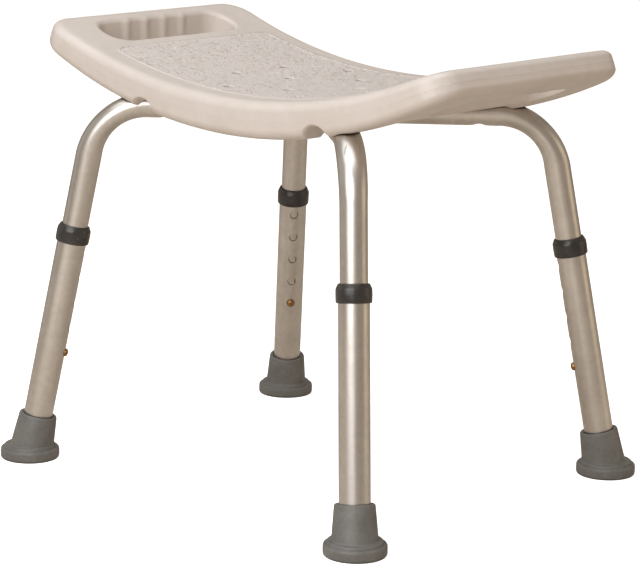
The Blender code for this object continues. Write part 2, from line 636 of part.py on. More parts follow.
# ---------------------------------------------------------------- assembly
def main():
    """Build the stool."""
    clear_scene()
    plastic = make_material("seat plastic", (0.72, 0.63, 0.56), 0.42)
    aluminium = make_material("satin aluminium", (0.66, 0.64, 0.62), 0.32, 1.0)
    collar_plastic = make_material("collar plastic", (0.045, 0.042, 0.038), 0.38)
    rubber = make_material("grey rubber", (0.19, 0.20, 0.19), 0.72)
    steel = make_material("zinc-plated steel", (0.62, 0.62, 0.62), 0.30, 1.0)
    spring_steel = make_material("spring steel", (0.42, 0.42, 0.44), 0.28, 1.0)
    brass = make_material("brass", (0.55, 0.33, 0.12), 0.30, 1.0)
    build_seat(plastic)
    build_crossbar("crossbar_tube_upper", 1, 1, aluminium)
    build_crossbar("crossbar_tube_lower", -1, -1, aluminium)
    build_centre_rivet(steel)
    for corner in CORNERS:
        build_seat_fasteners(corner, steel, brass)
        axis = add_leg_axis(corner)
        build_leg_tube(corner, axis, aluminium)
        build_collar(corner, axis, collar_plastic)
        build_tip(corner, axis, rubber, steel)
        build_button(corner, axis, brass)
        build_spring(corner, axis, spring_steel)


main()
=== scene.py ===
"""Visual model of a height-adjustable shower stool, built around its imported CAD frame.

The moulded seat, the two crossed aluminium tubes, the telescopic legs with their snap
buttons, collars and rubber feet, and the seat fasteners are remodelled finely. Hidden
hardware keeps its CAD mesh and gets a finish. Metres; the origin is on the floor under
the middle of the seat, X runs along the seat, -Y is the front and Z is up.
"""
import json
import logging
import math
from dataclasses import dataclass, field
from enum import Enum
from typing import Callable, Iterable, Optional, Sequence

import bmesh
import bpy
from bmesh.types import BMesh
from mathutils import Matrix, Vector
from mathutils.bvhtree import BVHTree
from mathutils.interpolate import poly_3d_calc


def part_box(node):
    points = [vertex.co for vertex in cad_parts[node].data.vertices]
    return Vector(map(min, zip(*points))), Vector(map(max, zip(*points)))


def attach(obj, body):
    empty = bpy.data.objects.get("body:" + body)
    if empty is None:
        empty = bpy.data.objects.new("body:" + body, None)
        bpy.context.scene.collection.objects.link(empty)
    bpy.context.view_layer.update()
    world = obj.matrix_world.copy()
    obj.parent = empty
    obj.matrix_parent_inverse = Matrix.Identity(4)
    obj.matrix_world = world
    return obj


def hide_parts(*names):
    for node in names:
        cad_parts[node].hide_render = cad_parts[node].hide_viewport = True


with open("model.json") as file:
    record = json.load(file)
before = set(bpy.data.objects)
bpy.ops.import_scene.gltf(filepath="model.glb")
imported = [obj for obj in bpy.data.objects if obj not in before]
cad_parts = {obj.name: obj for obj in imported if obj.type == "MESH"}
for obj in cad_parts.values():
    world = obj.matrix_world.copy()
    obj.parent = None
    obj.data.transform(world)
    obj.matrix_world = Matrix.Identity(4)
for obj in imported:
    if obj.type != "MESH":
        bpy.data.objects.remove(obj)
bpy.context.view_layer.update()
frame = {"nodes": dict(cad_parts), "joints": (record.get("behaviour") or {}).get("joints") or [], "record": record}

LOG = logging.getLogger("shower_stool")
FIT_GAP = 0.0003        # clearance between pieces that touch
QUARTER = math.pi / 2
SHARP_ANGLE = math.radians(35)
SKIN_TOLERANCE = 3e-5   # how far off an uncut skin a point may lie
SAME_SIDE = 0.85        # cosine past which a face still belongs to the uncut skin
TUBE_PLACE = "tube_place"

Outline = list[tuple[float, float]]
Colour = tuple[float, float, float]
Drill = tuple[float, float, float]      # radius, start and end along its axis
Offsets = tuple[tuple[float, float], ...]


class Corner(Enum):
    """The four legs, named from the front."""

    FRONT_LEFT = "front_left"
    FRONT_RIGHT = "front_right"
    BACK_LEFT = "back_left"
    BACK_RIGHT = "back_right"


class Crossing(Enum):
    """Where a crossbar lies in the crossing: above or below the other one."""

    UPPER = 1
    LOWER = -1


class Cut(Enum):
    """What a tool body does to the body it meets."""

    AWAY = "DIFFERENCE"
    JOIN = "UNION"


# ---------------------------------------------------------------- mesh tools
def skin(rings: Sequence[Sequence[Vector]], closed: bool = False) -> BMesh:
    """Bridge rings of points, one after another.

    Args:
        rings: Loops with the same number of points each.
        closed: Whether the last ring joins the first; otherwise both ends are filled.

    Returns:
        A closed body.
    """
    bm = bmesh.new()
    loops = []
    for ring in rings:
        verts = [bm.verts.new(point) for point in ring]
        loops.append([bm.edges.new(pair) for pair in zip(verts, verts[1:] + verts[:1])])
    for low, high in zip(loops, loops[1:]):
        bmesh.ops.bridge_loops(bm, edges=low + high)
    if closed:
        bmesh.ops.bridge_loops(bm, edges=loops[-1] + loops[0])
    else:
        bmesh.ops.edgeloop_fill(bm, edges=loops[0])
        bmesh.ops.edgeloop_fill(bm, edges=loops[-1])
    bmesh.ops.recalc_face_normals(bm, faces=bm.faces)
    return bm


def lathe(profile: Outline, sides: int) -> BMesh:
    """Spin (radius, height) points about Z.

    Args:
        profile: The half section; a ring's section ends where it starts.
        sides: Steps of the spin.

    Returns:
        A closed body.
    """
    bm = bmesh.new()
    verts = [bm.verts.new((radius, 0.0, height)) for radius, height in profile]
    edges = [bm.edges.new(pair) for pair in zip(verts, verts[1:])]
    bmesh.ops.spin(bm, geom=verts + edges, cent=(0, 0, 0), axis=(0, 0, 1), angle=4 * QUARTER,
                   steps=sides, use_merge=True)
    bmesh.ops.remove_doubles(bm, verts=bm.verts, dist=1e-6)
    bmesh.ops.recalc_face_normals(bm, faces=bm.faces)
    return bm


def cylinder(radius: float, bottom: float, top: float, sides: int = 32) -> BMesh:
    """Return an upright cylinder."""
    return lathe([(0, bottom), (radius, bottom), (radius, top), (0, top)], sides)


def block(size: Sequence[float], centre: Sequence[float] = (0.0, 0.0, 0.0)) -> BMesh:
    """Make a box.

    Args:
        size: Its length along each axis.
        centre: Its middle.

    Returns:
        The box.
    """
    bm = bmesh.new()
    bmesh.ops.create_cube(bm, size=1.0)
    bmesh.ops.scale(bm, vec=Vector(size), verts=bm.verts)
    bmesh.ops.translate(bm, vec=Vector(centre), verts=bm.verts)
    return bm


def moved(bm: BMesh, matrix: Matrix) -> BMesh:
    """Return the same body after a move."""
    bmesh.ops.transform(bm, matrix=matrix, verts=bm.verts)
    return bm


def gathered(bodies: Iterable[BMesh]) -> BMesh:
    """Put several bodies in one bmesh.

    Args:
        bodies: The bodies; they are freed.

    Returns:
        All of them in one.
    """
    result = bmesh.new()
    for body in bodies:
        mesh = bpy.data.meshes.new("gathered")
        body.to_mesh(mesh)
        body.free()
        result.from_mesh(mesh)
        bpy.data.meshes.remove(mesh)
    return result


def hidden_object(name: str, bm: BMesh) -> bpy.types.Object:
    """Link a bmesh to the scene as a helper object.

    Args:
        name: The helper's name.
        bm: Its mesh; it is freed.

    Returns:
        The helper.
    """
    mesh = bpy.data.meshes.new(name)
    bm.to_mesh(mesh)
    bm.free()
    helper = bpy.data.objects.new(name, mesh)
    bpy.context.scene.collection.objects.link(helper)
    return helper


def carve(body: BMesh, tools: Sequence[tuple[BMesh, Cut]]) -> BMesh:
    """Cut or join closed bodies exactly, in order.

    Args:
        body: The body to change; it is freed.
        tools: Each tool body and what it does; they are freed.

    Returns:
        The changed body.
    """
    target = hidden_object("carved", body)
    helpers = [hidden_object("tool", tool) for tool, _ in tools]
    for helper, (_, cut) in zip(helpers, tools):
        modifier = target.modifiers.new("carve", "BOOLEAN")
        modifier.solver = "EXACT"
        modifier.operation = cut.value
        modifier.object = helper
    result = bmesh.new()
    result.from_object(target, bpy.context.evaluated_depsgraph_get())
    for helper in helpers + [target]:
        mesh = helper.data
        bpy.data.objects.remove(helper)
        bpy.data.meshes.remove(mesh)
    return result


def bisect(bm: BMesh, place: Sequence[float], normal: Sequence[float]) -> None:
    """Cut the faces of a body along a plane, keeping both sides."""
    bmesh.ops.bisect_plane(bm, geom=bm.verts[:] + bm.edges[:] + bm.faces[:], dist=1e-7,
                           plane_co=place, plane_no=normal)


def turns(start: float, end: float, steps: int) -> list[float]:
    """Return evenly spaced angles from start to end, both included."""
    return [start + (end - start) * i / steps for i in range(steps + 1)]


def arc(centre: tuple[float, float], radius: float, start: float, end: float, steps: int) -> Outline:
    """Return points on a plane arc, angles in radians, both ends included."""
    x, y = centre
    return [(x + radius * math.cos(a), y + radius * math.sin(a)) for a in turns(start, end, steps)]


def rounded_rectangle(half_x: float, half_y: float, radius: float, steps: int) -> Outline:
    """Draw a rectangle with round corners, counter-clockwise.

    Args:
        half_x: Half its length.
        half_y: Half its width.
        radius: The radius of its corners.
        steps: Steps of each corner.

    Returns:
        The outline.
    """
    outline: Outline = []
    for quarter, (sx, sy) in enumerate(((1, 1), (-1, 1), (-1, -1), (1, -1))):
        centre = (sx * (half_x - radius), sy * (half_y - radius))
        outline += arc(centre, radius, quarter * QUARTER, (quarter + 1) * QUARTER, steps)
    return outline


def smooth_step(value: float) -> float:
    """Ease 0..1."""
    value = min(max(value, 0.0), 1.0)
    return value * value * (3 - 2 * value)


class SmoothSkin:
    """The shading of a body before it was cut, looked up by place."""

    def __init__(self, bm: BMesh) -> None:
        """Keep the faces with area-weighted vertex normals.

        Args:
            bm: The body before it is cut.
        """
        self.bm = bm.copy()
        self.bm.faces.ensure_lookup_table()
        self.tree = BVHTree.FromBMesh(self.bm)
        self.normals = {}
        for vertex in self.bm.verts:
            total = sum((f.normal * f.calc_area() for f in vertex.link_faces), Vector())
            self.normals[vertex.index] = total.normalized()

    def normal_at(self, point: Vector) -> Optional[Vector]:
        """Look the smooth normal up.

        Args:
            point: A point.

        Returns:
            The normal at the nearest place of the skin, or None away from it.
        """
        spot, _, index, distance = self.tree.find_nearest(point)
        if index is None or distance > SKIN_TOLERANCE:
            return None
        verts = self.bm.faces[index].verts
        weights = poly_3d_calc([v.co for v in verts], spot)
        blend = sum((self.normals[v.index] * w for v, w in zip(verts, weights)), Vector())
        return blend.normalized()


def shade(mesh: bpy.types.Mesh, reference: Optional[SmoothSkin] = None) -> None:
    """Shade a mesh smooth, sharp at its edges.

    Args:
        mesh: The mesh to shade.
        reference: The skin whose shading the uncut surface keeps.
    """
    mesh.shade_smooth()
    mesh.set_sharp_from_angle(angle=SHARP_ANGLE)
    if reference is None:
        return
    own = [Vector(corner.vector) for corner in mesh.corner_normals]
    known = [reference.normal_at(vertex.co) for vertex in mesh.vertices]
    for polygon in mesh.polygons:
        for loop in polygon.loop_indices:
            normal = known[mesh.loops[loop].vertex_index]
            if normal is not None and normal.dot(polygon.normal) > SAME_SIDE:
                own[loop] = normal
    mesh.normals_split_custom_set(own)


# ---------------------------------------------------------------- shader tools
Feed = float | Sequence[float] | bpy.types.NodeSocket


class Graph:
    """Adds nodes to one tree and links them."""

    def __init__(self, tree: bpy.types.NodeTree) -> None:
        """Work on the given tree."""
        self.tree = tree

    def feed(self, socket: bpy.types.NodeSocket, value: Feed) -> None:
        """Link a socket to another, or set its value.

        Args:
            socket: The socket to feed.
            value: The other socket, or a value.
        """
        if isinstance(value, bpy.types.NodeSocket):
            self.tree.links.new(value, socket)
        else:
            socket.default_value = value

    def add(self, kind: str, inputs: Optional[dict] = None, **settings) -> bpy.types.Node:
        """Add a node.

        Args:
            kind: The node's type name.
            inputs: What feeds its sockets, by socket name or number.
            **settings: The node's own properties.

        Returns:
            The node.
        """
        node = self.tree.nodes.new(kind)
        for name, value in settings.items():
            setattr(node, name, value)
        for key, value in (inputs or {}).items():
            self.feed(node.inputs[key], value)
        return node

    def math(self, operation: str, *values: Feed, clamp: bool = False) -> bpy.types.NodeSocket:
        """Return the result of a Math node."""
        node = self.add("ShaderNodeMath", dict(enumerate(values)), operation=operation, use_clamp=clamp)
        return node.outputs[0]

    def ramp(self, value: Feed, start: float, end: float) -> bpy.types.NodeSocket:
        """Return value eased from 0 at start to 1 at end."""
        node = self.add("ShaderNodeMapRange", {"Value": value, "From Min": start, "From Max": end},
                        interpolation_type="SMOOTHSTEP", clamp=True)
        return node.outputs["Result"]

    def times(self, first: Feed, second: Feed) -> bpy.types.NodeSocket:
        """Return a product."""
        return self.math("MULTIPLY", first, second)

    def plus(self, first: Feed, second: Feed) -> bpy.types.NodeSocket:
        """Return a sum."""
        return self.math("ADD", first, second)

    def minus(self, first: Feed, second: Feed) -> bpy.types.NodeSocket:
        """Return a difference."""
        return self.math("SUBTRACT", first, second)

    def length(self, across: Feed, up: Feed) -> bpy.types.NodeSocket:
        """Return the length of a plane vector."""
        return self.math("SQRT", self.plus(self.times(across, across), self.times(up, up)))

    def mix(self, factor: Feed, first: Feed, second: Feed) -> bpy.types.NodeSocket:
        """Return a blend of two colours."""
        first, second = ((*c, 1.0) if isinstance(c, tuple) else c for c in (first, second))
        return self.add("ShaderNodeMix", {0: factor, 6: first, 7: second}, data_type="RGBA").outputs[2]

    def noise(self, vector: Feed, scale: Feed, detail: float = 2.0, roughness: float = 0.5,
              distortion: float = 0.0) -> bpy.types.NodeSocket:
        """Return the value of a Noise Texture."""
        node = self.add("ShaderNodeTexNoise", {"Vector": vector, "Scale": scale, "Detail": detail,
                                               "Roughness": roughness, "Distortion": distortion})
        return node.outputs["Fac"]

    def stretched(self, vector: Feed, scale: Sequence[float]) -> bpy.types.NodeSocket:
        """Return a vector scaled by axis."""
        return self.add("ShaderNodeMapping", {"Vector": vector, "Scale": scale}).outputs[0]

    def bump(self, height: Feed, distance: float,
             normal: Optional[bpy.types.NodeSocket] = None) -> bpy.types.NodeSocket:
        """Bump a normal.

        Args:
            height: The relief, from 0 to 1.
            distance: Its full height.
            normal: The normal to bump; the surface's own if None.

        Returns:
            The bumped normal.
        """
        inputs = {"Height": height, "Distance": distance, "Strength": 1.0}
        if normal is not None:
            inputs["Normal"] = normal
        return self.add("ShaderNodeBump", inputs).outputs[0]


class Effect(Enum):
    """The surface effects that several finishes share."""

    MOTTLE = "mottle"
    GRAIN = "fine_grain"
    SCUFFS = "scuffs"
    STREAKS = "drawn_streaks"
    SEAT_ZONES = "seat_zones"
    PEBBLES = "pebble_texture"


@dataclass
class EffectLibrary:
    """Builds each shared effect once, as a node group."""

    groups: dict = field(default_factory=dict)

    def use(self, graph: Graph, effect: Effect, **inputs: Feed) -> bpy.types.Node:
        """Place an effect in a material.

        Args:
            graph: The material's graph.
            effect: The effect.
            **inputs: What feeds its sockets, by name.

        Returns:
            The group node.
        """
        if effect not in self.groups:
            self.groups[effect] = getattr(self, effect.value)()
        node = graph.add("ShaderNodeGroup", node_tree=self.groups[effect])
        for name, value in inputs.items():
            graph.feed(node.inputs[name], value)
        return node

    @staticmethod
    def start(name: str, inputs: dict[str, Optional[float]],
              *outputs: str) -> tuple[Graph, dict, Callable]:
        """Begin a group.

        Args:
            name: The group's name.
            inputs: Each input's first value; None makes it a vector.
            *outputs: The names of its outputs, all plain values.

        Returns:
            The graph, the input sockets by name, and a function that feeds an output.
        """
        tree = bpy.data.node_groups.new(name, "ShaderNodeTree")
        for label, value in inputs.items():
            kind = "NodeSocketVector" if value is None else "NodeSocketFloat"
            socket = tree.interface.new_socket(name=label, in_out="INPUT", socket_type=kind)
            if value is not None:
                socket.default_value = value
        for label in outputs:
            tree.interface.new_socket(name=label, in_out="OUTPUT", socket_type="NodeSocketFloat")
        graph = Graph(tree)
        entry = graph.add("NodeGroupInput")
        end = graph.add("NodeGroupOutput")
        sockets = {label: entry.outputs[label] for label in inputs}
        return graph, sockets, lambda label, value: graph.feed(end.inputs[label], value)

    def mottle(self) -> bpy.types.NodeTree:
        """Soft uneven patches, as in moulded plastic or handled metal.

        Returns:
            The group.
        """
        graph, given, out = self.start("mottle", {"Vector": None, "Scale": 30.0}, "Mask")
        wide = graph.noise(given["Vector"], given["Scale"], 3.0, 0.55, 0.4)
        fine = graph.noise(given["Vector"], graph.times(given["Scale"], 7.0), 2.0)
        both = graph.math("MULTIPLY_ADD", fine, 0.3, graph.times(wide, 0.7))
        out("Mask", graph.ramp(both, 0.36, 0.64))
        return graph.tree

    def fine_grain(self) -> bpy.types.NodeTree:
        """Sand-blast grain: a height, and a mask of its deeper pits.

        Returns:
            The group.
        """
        graph, given, out = self.start("fine_grain", {"Vector": None, "Scale": 900.0}, "Height", "Pits")
        value = graph.noise(given["Vector"], given["Scale"], 2.0, 0.6)
        out("Height", graph.ramp(value, 0.30, 0.70))
        out("Pits", graph.ramp(value, 0.44, 0.34))
        return graph.tree

    def scuffs(self) -> bpy.types.NodeTree:
        """Scattered short scratches and dark rub marks.

        Returns:
            The group.
        """
        graph, given, out = self.start("scuffs", {"Vector": None, "Scale": 60.0, "Amount": 0.2}, "Mask")
        bent = graph.add("ShaderNodeTexNoise", {"Vector": given["Vector"], "Scale": 140.0, "Detail": 2.0})
        shift = graph.add("ShaderNodeVectorMath", {0: bent.outputs["Color"], 1: (0.012, 0.012, 0.012)},
                          operation="MULTIPLY")
        place = graph.add("ShaderNodeVectorMath", {0: given["Vector"], 1: shift.outputs[0]}, operation="ADD")
        cells = graph.add("ShaderNodeTexVoronoi", {"Vector": place.outputs[0], "Scale": given["Scale"],
                                                   "Randomness": 1.0})
        chance = graph.add("ShaderNodeSeparateColor", {0: cells.outputs["Color"]}).outputs[0]
        picked = graph.math("LESS_THAN", chance, given["Amount"])
        close = graph.ramp(cells.outputs["Distance"], 0.17, 0.05)
        out("Mask", graph.times(picked, close))
        return graph.tree

    def drawn_streaks(self) -> bpy.types.NodeTree:
        """Faint lines along a drawn tube; the vector's Z runs along it.

        Returns:
            The group.
        """
        graph, given, out = self.start("drawn_streaks", {"Vector": None}, "Height", "Mask")
        fine = graph.stretched(given["Vector"], (1.0, 1.0, 0.012))
        wide = graph.stretched(given["Vector"], (1.0, 1.0, 0.03))
        out("Height", graph.noise(fine, 2600.0, 2.0, 0.6))
        out("Mask", graph.ramp(graph.noise(wide, 420.0, 3.0), 0.35, 0.65))
        return graph.tree

    def pebble_texture(self) -> bpy.types.NodeTree:
        """Anti-slip texture: winding pits between low pebbles.

        Returns:
            The group.
        """
        graph, given, out = self.start("pebble_texture", {"Vector": None, "Scale": 260.0},
                                       "Height", "Pits", "Bumps")
        value = graph.noise(given["Vector"], given["Scale"], 1.5, 0.5, 0.9)
        lumps = graph.noise(given["Vector"], graph.times(given["Scale"], 1.7), 1.0)
        pits = graph.ramp(value, 0.415, 0.345)
        bumps = graph.ramp(lumps, 0.47, 0.62)
        out("Height", graph.math("MULTIPLY_ADD", bumps, 0.45, graph.minus(0.55, graph.times(pits, 0.55))))
        out("Pits", pits)
        out("Bumps", bumps)
        return graph.tree

    def seat_zones(self) -> bpy.types.NodeTree:
        """Masks of the bent seat's zones, from the place on its arc.

        Returns:
            The group.
        """
        sizes = {"Bend Radius": 0.632, "Centre Height": 1.011, "Panel Length": 0.183, "Panel Width": 0.107,
                 "Field Length": 0.246, "Field Width": 0.125}
        graph, given, out = self.start("seat_zones", {"Vector": None, **sizes}, "Panel", "Field")
        x, y, z = graph.add("ShaderNodeSeparateXYZ", {0: given["Vector"]}).outputs
        drop = graph.minus(given["Centre Height"], z)
        along = graph.times(graph.math("ARCTAN2", x, drop), given["Bend Radius"])
        depth = graph.minus(graph.length(x, drop), given["Bend Radius"])
        on_top = graph.ramp(depth, 0.0016, 0.0008)

        def inside(half_length: Feed, half_width: Feed, corner: float, blur: float) -> bpy.types.NodeSocket:
            """Mask a rectangle with round corners, on the top only.

            Args:
                half_length: Half its length along the arc.
                half_width: Half its width.
                corner: The radius of its corners.
                blur: The width of its soft edge.

            Returns:
                The mask.
            """
            past_length = graph.minus(graph.math("ABSOLUTE", along), graph.minus(half_length, corner))
            past_width = graph.minus(graph.math("ABSOLUTE", y), graph.minus(half_width, corner))
            far = graph.length(graph.math("MAXIMUM", past_length, 0.0),
                               graph.math("MAXIMUM", past_width, 0.0))
            return graph.times(graph.ramp(far, corner + blur / 2, corner - blur / 2), on_top)

        out("Panel", inside(given["Panel Length"], given["Panel Width"], 0.012, 0.0012))
        out("Field", inside(given["Field Length"], given["Field Width"], 0.020, 0.0040))
        return graph.tree


EFFECTS = EffectLibrary()


@dataclass(frozen=True)
class Finish:
    """A material's plain values; each kind of surface adds its own detail to them."""

    name: str
    colour: Colour
    shade_colour: Colour
    roughness: float
    metallic: float = 0.0

    def material(self) -> bpy.types.Material:
        """Return the finish's material, made once."""
        found = bpy.data.materials.get(self.name)
        return found or self.make()

    def make(self) -> bpy.types.Material:
        """Build the material around its Principled shader.

        Returns:
            The material.
        """
        material = bpy.data.materials.new(self.name)
        material.use_nodes = True
        graph = Graph(material.node_tree)
        shader = material.node_tree.nodes["Principled BSDF"]
        shader.inputs["Metallic"].default_value = self.metallic
        self.detail(graph, shader)
        return material

    def detail(self, graph: Graph, shader: bpy.types.Node) -> None:
        """Feed the shader."""
        raise NotImplementedError

    @staticmethod
    def place(graph: Graph) -> bpy.types.NodeSocket:
        """Return the Object coordinates."""
        return graph.add("ShaderNodeTexCoord").outputs["Object"]

    @staticmethod
    def tube_place(graph: Graph) -> bpy.types.NodeSocket:
        """Return the place along and round a tube, as its pieces carry it."""
        return graph.add("ShaderNodeAttribute", attribute_name=TUBE_PLACE).outputs["Vector"]

    @staticmethod
    def occlusion_shade(graph: Graph, size: float, opening: tuple[float, float]) -> bpy.types.NodeSocket:
        """Return a painted-shade mask from ambient occlusion: holes and tight corners up to this size, from 0 to 1
        as they close.
        """
        open_air = graph.add("ShaderNodeAmbientOcclusion", {"Distance": size}).outputs["AO"]
        return graph.ramp(open_air, *opening)

    def patched(self, graph: Graph, patches: bpy.types.Node) -> bpy.types.NodeSocket:
        """Return the finish's two colours, mixed by soft patches."""
        return graph.mix(patches.outputs["Mask"], self.colour, self.shade_colour)

    def around(self, graph: Graph, value: Feed, spread: float) -> bpy.types.NodeSocket:
        """Return a roughness that varies by spread about the finish's own."""
        return graph.math("MULTIPLY_ADD", value, spread, self.roughness - spread / 2)


@dataclass(frozen=True)
class SeatPlastic(Finish):
    """Blow-moulded seat: pebbled panel, sand-blasted field and smooth rim."""

    # The next three colours paint shade into the pits, a painted highlight on the raised panel, and painted shade
    # into holes and tight corners.
    pit_shade_colour: Colour = (0.48, 0.40, 0.34)
    raised_highlight_colour: Colour = (0.79, 0.735, 0.725)
    hollow_shade_colour: Colour = (0.34, 0.24, 0.165)
    hollow_shade_size: float = 0.006
    pebble_scale: float = 228.0
    grain_scale: float = 880.0
    patch_scale: float = 14.0
    pebble_height: float = 0.00115
    blast_height: float = 0.00010
    waviness: float = 0.00012
    pit_shade_strength: float = 0.62
    speck_strength: float = 0.22
    hollow_shade_strength: float = 0.60

    def detail(self, graph: Graph, shader: bpy.types.Node) -> None:
        """Feed the shader by zone.

        Args:
            graph: The material's graph.
            shader: Its shader.
        """
        place = self.place(graph)
        zones = EFFECTS.use(graph, Effect.SEAT_ZONES, Vector=place)
        pebbles = EFFECTS.use(graph, Effect.PEBBLES, Vector=place, Scale=self.pebble_scale)
        grain = EFFECTS.use(graph, Effect.GRAIN, Vector=place, Scale=self.grain_scale)
        patches = EFFECTS.use(graph, Effect.MOTTLE, Vector=place, Scale=self.patch_scale)
        panel, blasted = zones.outputs["Panel"], zones.outputs["Field"]
        # Painted shade: the pebble pits of the panel and the deeper grain pits of the field are painted darker.
        pits = graph.times(graph.times(pebbles.outputs["Pits"], panel), self.pit_shade_strength)
        specks = graph.times(graph.times(grain.outputs["Pits"], blasted), self.speck_strength)
        pit_shade = graph.math("ADD", pits, specks, clamp=True)
        # Painted light: the panel is painted lighter, and its raised pebbles lighter still as a painted highlight.
        raised_highlight = graph.times(graph.math("MULTIPLY_ADD", pebbles.outputs["Bumps"], 0.5, 0.4), panel)
        lit = graph.mix(raised_highlight, self.patched(graph, patches), self.raised_highlight_colour)
        pebbled = graph.mix(pit_shade, lit, self.pit_shade_colour)
        # Painted shade: holes, slots and tight corners are darkened brown by ambient occlusion.
        hollow_shade = graph.times(self.occlusion_shade(graph, self.hollow_shade_size, (0.62, 0.30)), self.hollow_shade_strength)
        graph.feed(shader.inputs["Base Color"], graph.mix(hollow_shade, pebbled, self.hollow_shade_colour))
        soft = graph.math("MULTIPLY_ADD", blasted, 0.16, self.around(graph, patches.outputs["Mask"], 0.05))
        graph.feed(shader.inputs["Roughness"], soft)
        smooth = graph.bump(graph.noise(place, 55.0, 2.0), self.waviness)
        blast = graph.bump(graph.times(grain.outputs["Height"], blasted), self.blast_height, smooth)
        relief = graph.times(pebbles.outputs["Height"], panel)
        graph.feed(shader.inputs["Normal"], graph.bump(relief, self.pebble_height, blast))
        shader.inputs["Subsurface Weight"].default_value = 0.06
        shader.inputs["Subsurface Radius"].default_value = (0.004, 0.003, 0.002)


@dataclass(frozen=True)
class SatinAluminium(Finish):
    """Drawn and anodised tube, faintly streaked, with small scuffs."""

    scuff_colour: Colour = (0.16, 0.13, 0.10)
    # Painted shade colour for holes and tight gaps.
    hollow_shade_colour: Colour = (0.16, 0.12, 0.09)
    hollow_shade_size: float = 0.003
    patch_scale: float = 26.0
    grain_scale: float = 2600.0
    scuff_scale: float = 75.0
    scuff_amount: float = 0.055
    scuff_strength: float = 0.55
    hollow_shade_strength: float = 0.80
    line_height: float = 0.000006

    def detail(self, graph: Graph, shader: bpy.types.Node) -> None:
        """Feed the shader from the place along the tube.

        Args:
            graph: The material's graph.
            shader: Its shader.
        """
        along = self.tube_place(graph)
        streaks = EFFECTS.use(graph, Effect.STREAKS, Vector=along)
        patches = EFFECTS.use(graph, Effect.MOTTLE, Vector=along, Scale=self.patch_scale)
        grain = EFFECTS.use(graph, Effect.GRAIN, Vector=along, Scale=self.grain_scale)
        scuffs = EFFECTS.use(graph, Effect.SCUFFS, Vector=graph.stretched(along, (1.0, 1.0, 0.45)),
                             Scale=self.scuff_scale, Amount=self.scuff_amount)
        marked = graph.times(scuffs.outputs["Mask"], self.scuff_strength)
        scuffed = graph.mix(marked, self.patched(graph, patches), self.scuff_colour)
        # Painted shade: holes and tight gaps, such as by the collar, are darkened by ambient occlusion.
        hollow_shade = graph.times(self.occlusion_shade(graph, self.hollow_shade_size, (0.72, 0.40)), self.hollow_shade_strength)
        graph.feed(shader.inputs["Base Color"], graph.mix(hollow_shade, scuffed, self.hollow_shade_colour))
        worn = graph.math("MULTIPLY_ADD", streaks.outputs["Mask"], 0.035,
                          self.around(graph, patches.outputs["Mask"], 0.05))
        graph.feed(shader.inputs["Roughness"], graph.math("MULTIPLY_ADD", marked, 0.3, worn))
        lines = graph.bump(streaks.outputs["Height"], self.line_height)
        graph.feed(shader.inputs["Normal"], graph.bump(grain.outputs["Height"], self.line_height, lines))


@dataclass(frozen=True)
class CollarPlastic(Finish):
    """Dark injection-moulded collar with a slightly uneven gloss."""

    scuff_colour: Colour = (0.22, 0.20, 0.18)
    patch_scale: float = 95.0
    grain_scale: float = 1500.0
    scuff_scale: float = 190.0
    scuff_amount: float = 0.10
    scuff_strength: float = 0.22

    def detail(self, graph: Graph, shader: bpy.types.Node) -> None:
        """Feed the shader over the piece.

        Args:
            graph: The material's graph.
            shader: Its shader.
        """
        place = self.place(graph)
        patches = EFFECTS.use(graph, Effect.MOTTLE, Vector=place, Scale=self.patch_scale)
        grain = EFFECTS.use(graph, Effect.GRAIN, Vector=place, Scale=self.grain_scale)
        scuffs = EFFECTS.use(graph, Effect.SCUFFS, Vector=place, Scale=self.scuff_scale,
                             Amount=self.scuff_amount)
        pale = graph.times(scuffs.outputs["Mask"], self.scuff_strength)
        graph.feed(shader.inputs["Base Color"],
                   graph.mix(pale, self.patched(graph, patches), self.scuff_colour))
        graph.feed(shader.inputs["Roughness"], self.around(graph, patches.outputs["Mask"], 0.10))
        wavy = graph.bump(graph.noise(place, 260.0, 2.0), 0.00010)
        graph.feed(shader.inputs["Normal"], graph.bump(grain.outputs["Height"], 0.00002, wavy))


@dataclass(frozen=True)
class GreyRubber(Finish):
    """Matt rubber, mottled, with pale specks and dusty wear."""

    speck_colour: Colour = (0.36, 0.33, 0.29)
    # Colour and heights of the darkening towards the bottom.
    bottom_dark_colour: Colour = (0.045, 0.035, 0.028)
    bottom_dark_height: tuple[float, float] = (0.0022, 0.0006)
    patch_scale: float = 48.0
    grain_scale: float = 1300.0
    speck_scale: float = 230.0
    speck_amount: float = 0.16
    speck_strength: float = 0.35

    def detail(self, graph: Graph, shader: bpy.types.Node) -> None:
        """Feed the shader, darker towards the bottom.

        Args:
            graph: The material's graph.
            shader: Its shader.
        """
        place = self.place(graph)
        height = graph.add("ShaderNodeSeparateXYZ", {0: place}).outputs[2]
        patches = EFFECTS.use(graph, Effect.MOTTLE, Vector=place, Scale=self.patch_scale)
        grain = EFFECTS.use(graph, Effect.GRAIN, Vector=place, Scale=self.grain_scale)
        specks = EFFECTS.use(graph, Effect.SCUFFS, Vector=place, Scale=self.speck_scale,
                             Amount=self.speck_amount)
        dusty = graph.mix(graph.times(specks.outputs["Mask"], self.speck_strength),
                          self.patched(graph, patches), self.speck_colour)
        # Darker towards the bottom and, faintly, in the grain's pits.
        bottom_dark = graph.times(graph.ramp(height, *self.bottom_dark_height), 0.75)
        low = graph.math("MAXIMUM", bottom_dark, graph.times(grain.outputs["Pits"], 0.20))
        graph.feed(shader.inputs["Base Color"], graph.mix(low, dusty, self.bottom_dark_colour))
        graph.feed(shader.inputs["Roughness"], self.around(graph, patches.outputs["Mask"], 0.12))
        lumps = graph.bump(graph.noise(place, 210.0, 3.0), 0.00018)
        graph.feed(shader.inputs["Normal"], graph.bump(grain.outputs["Height"], 0.00005, lumps))


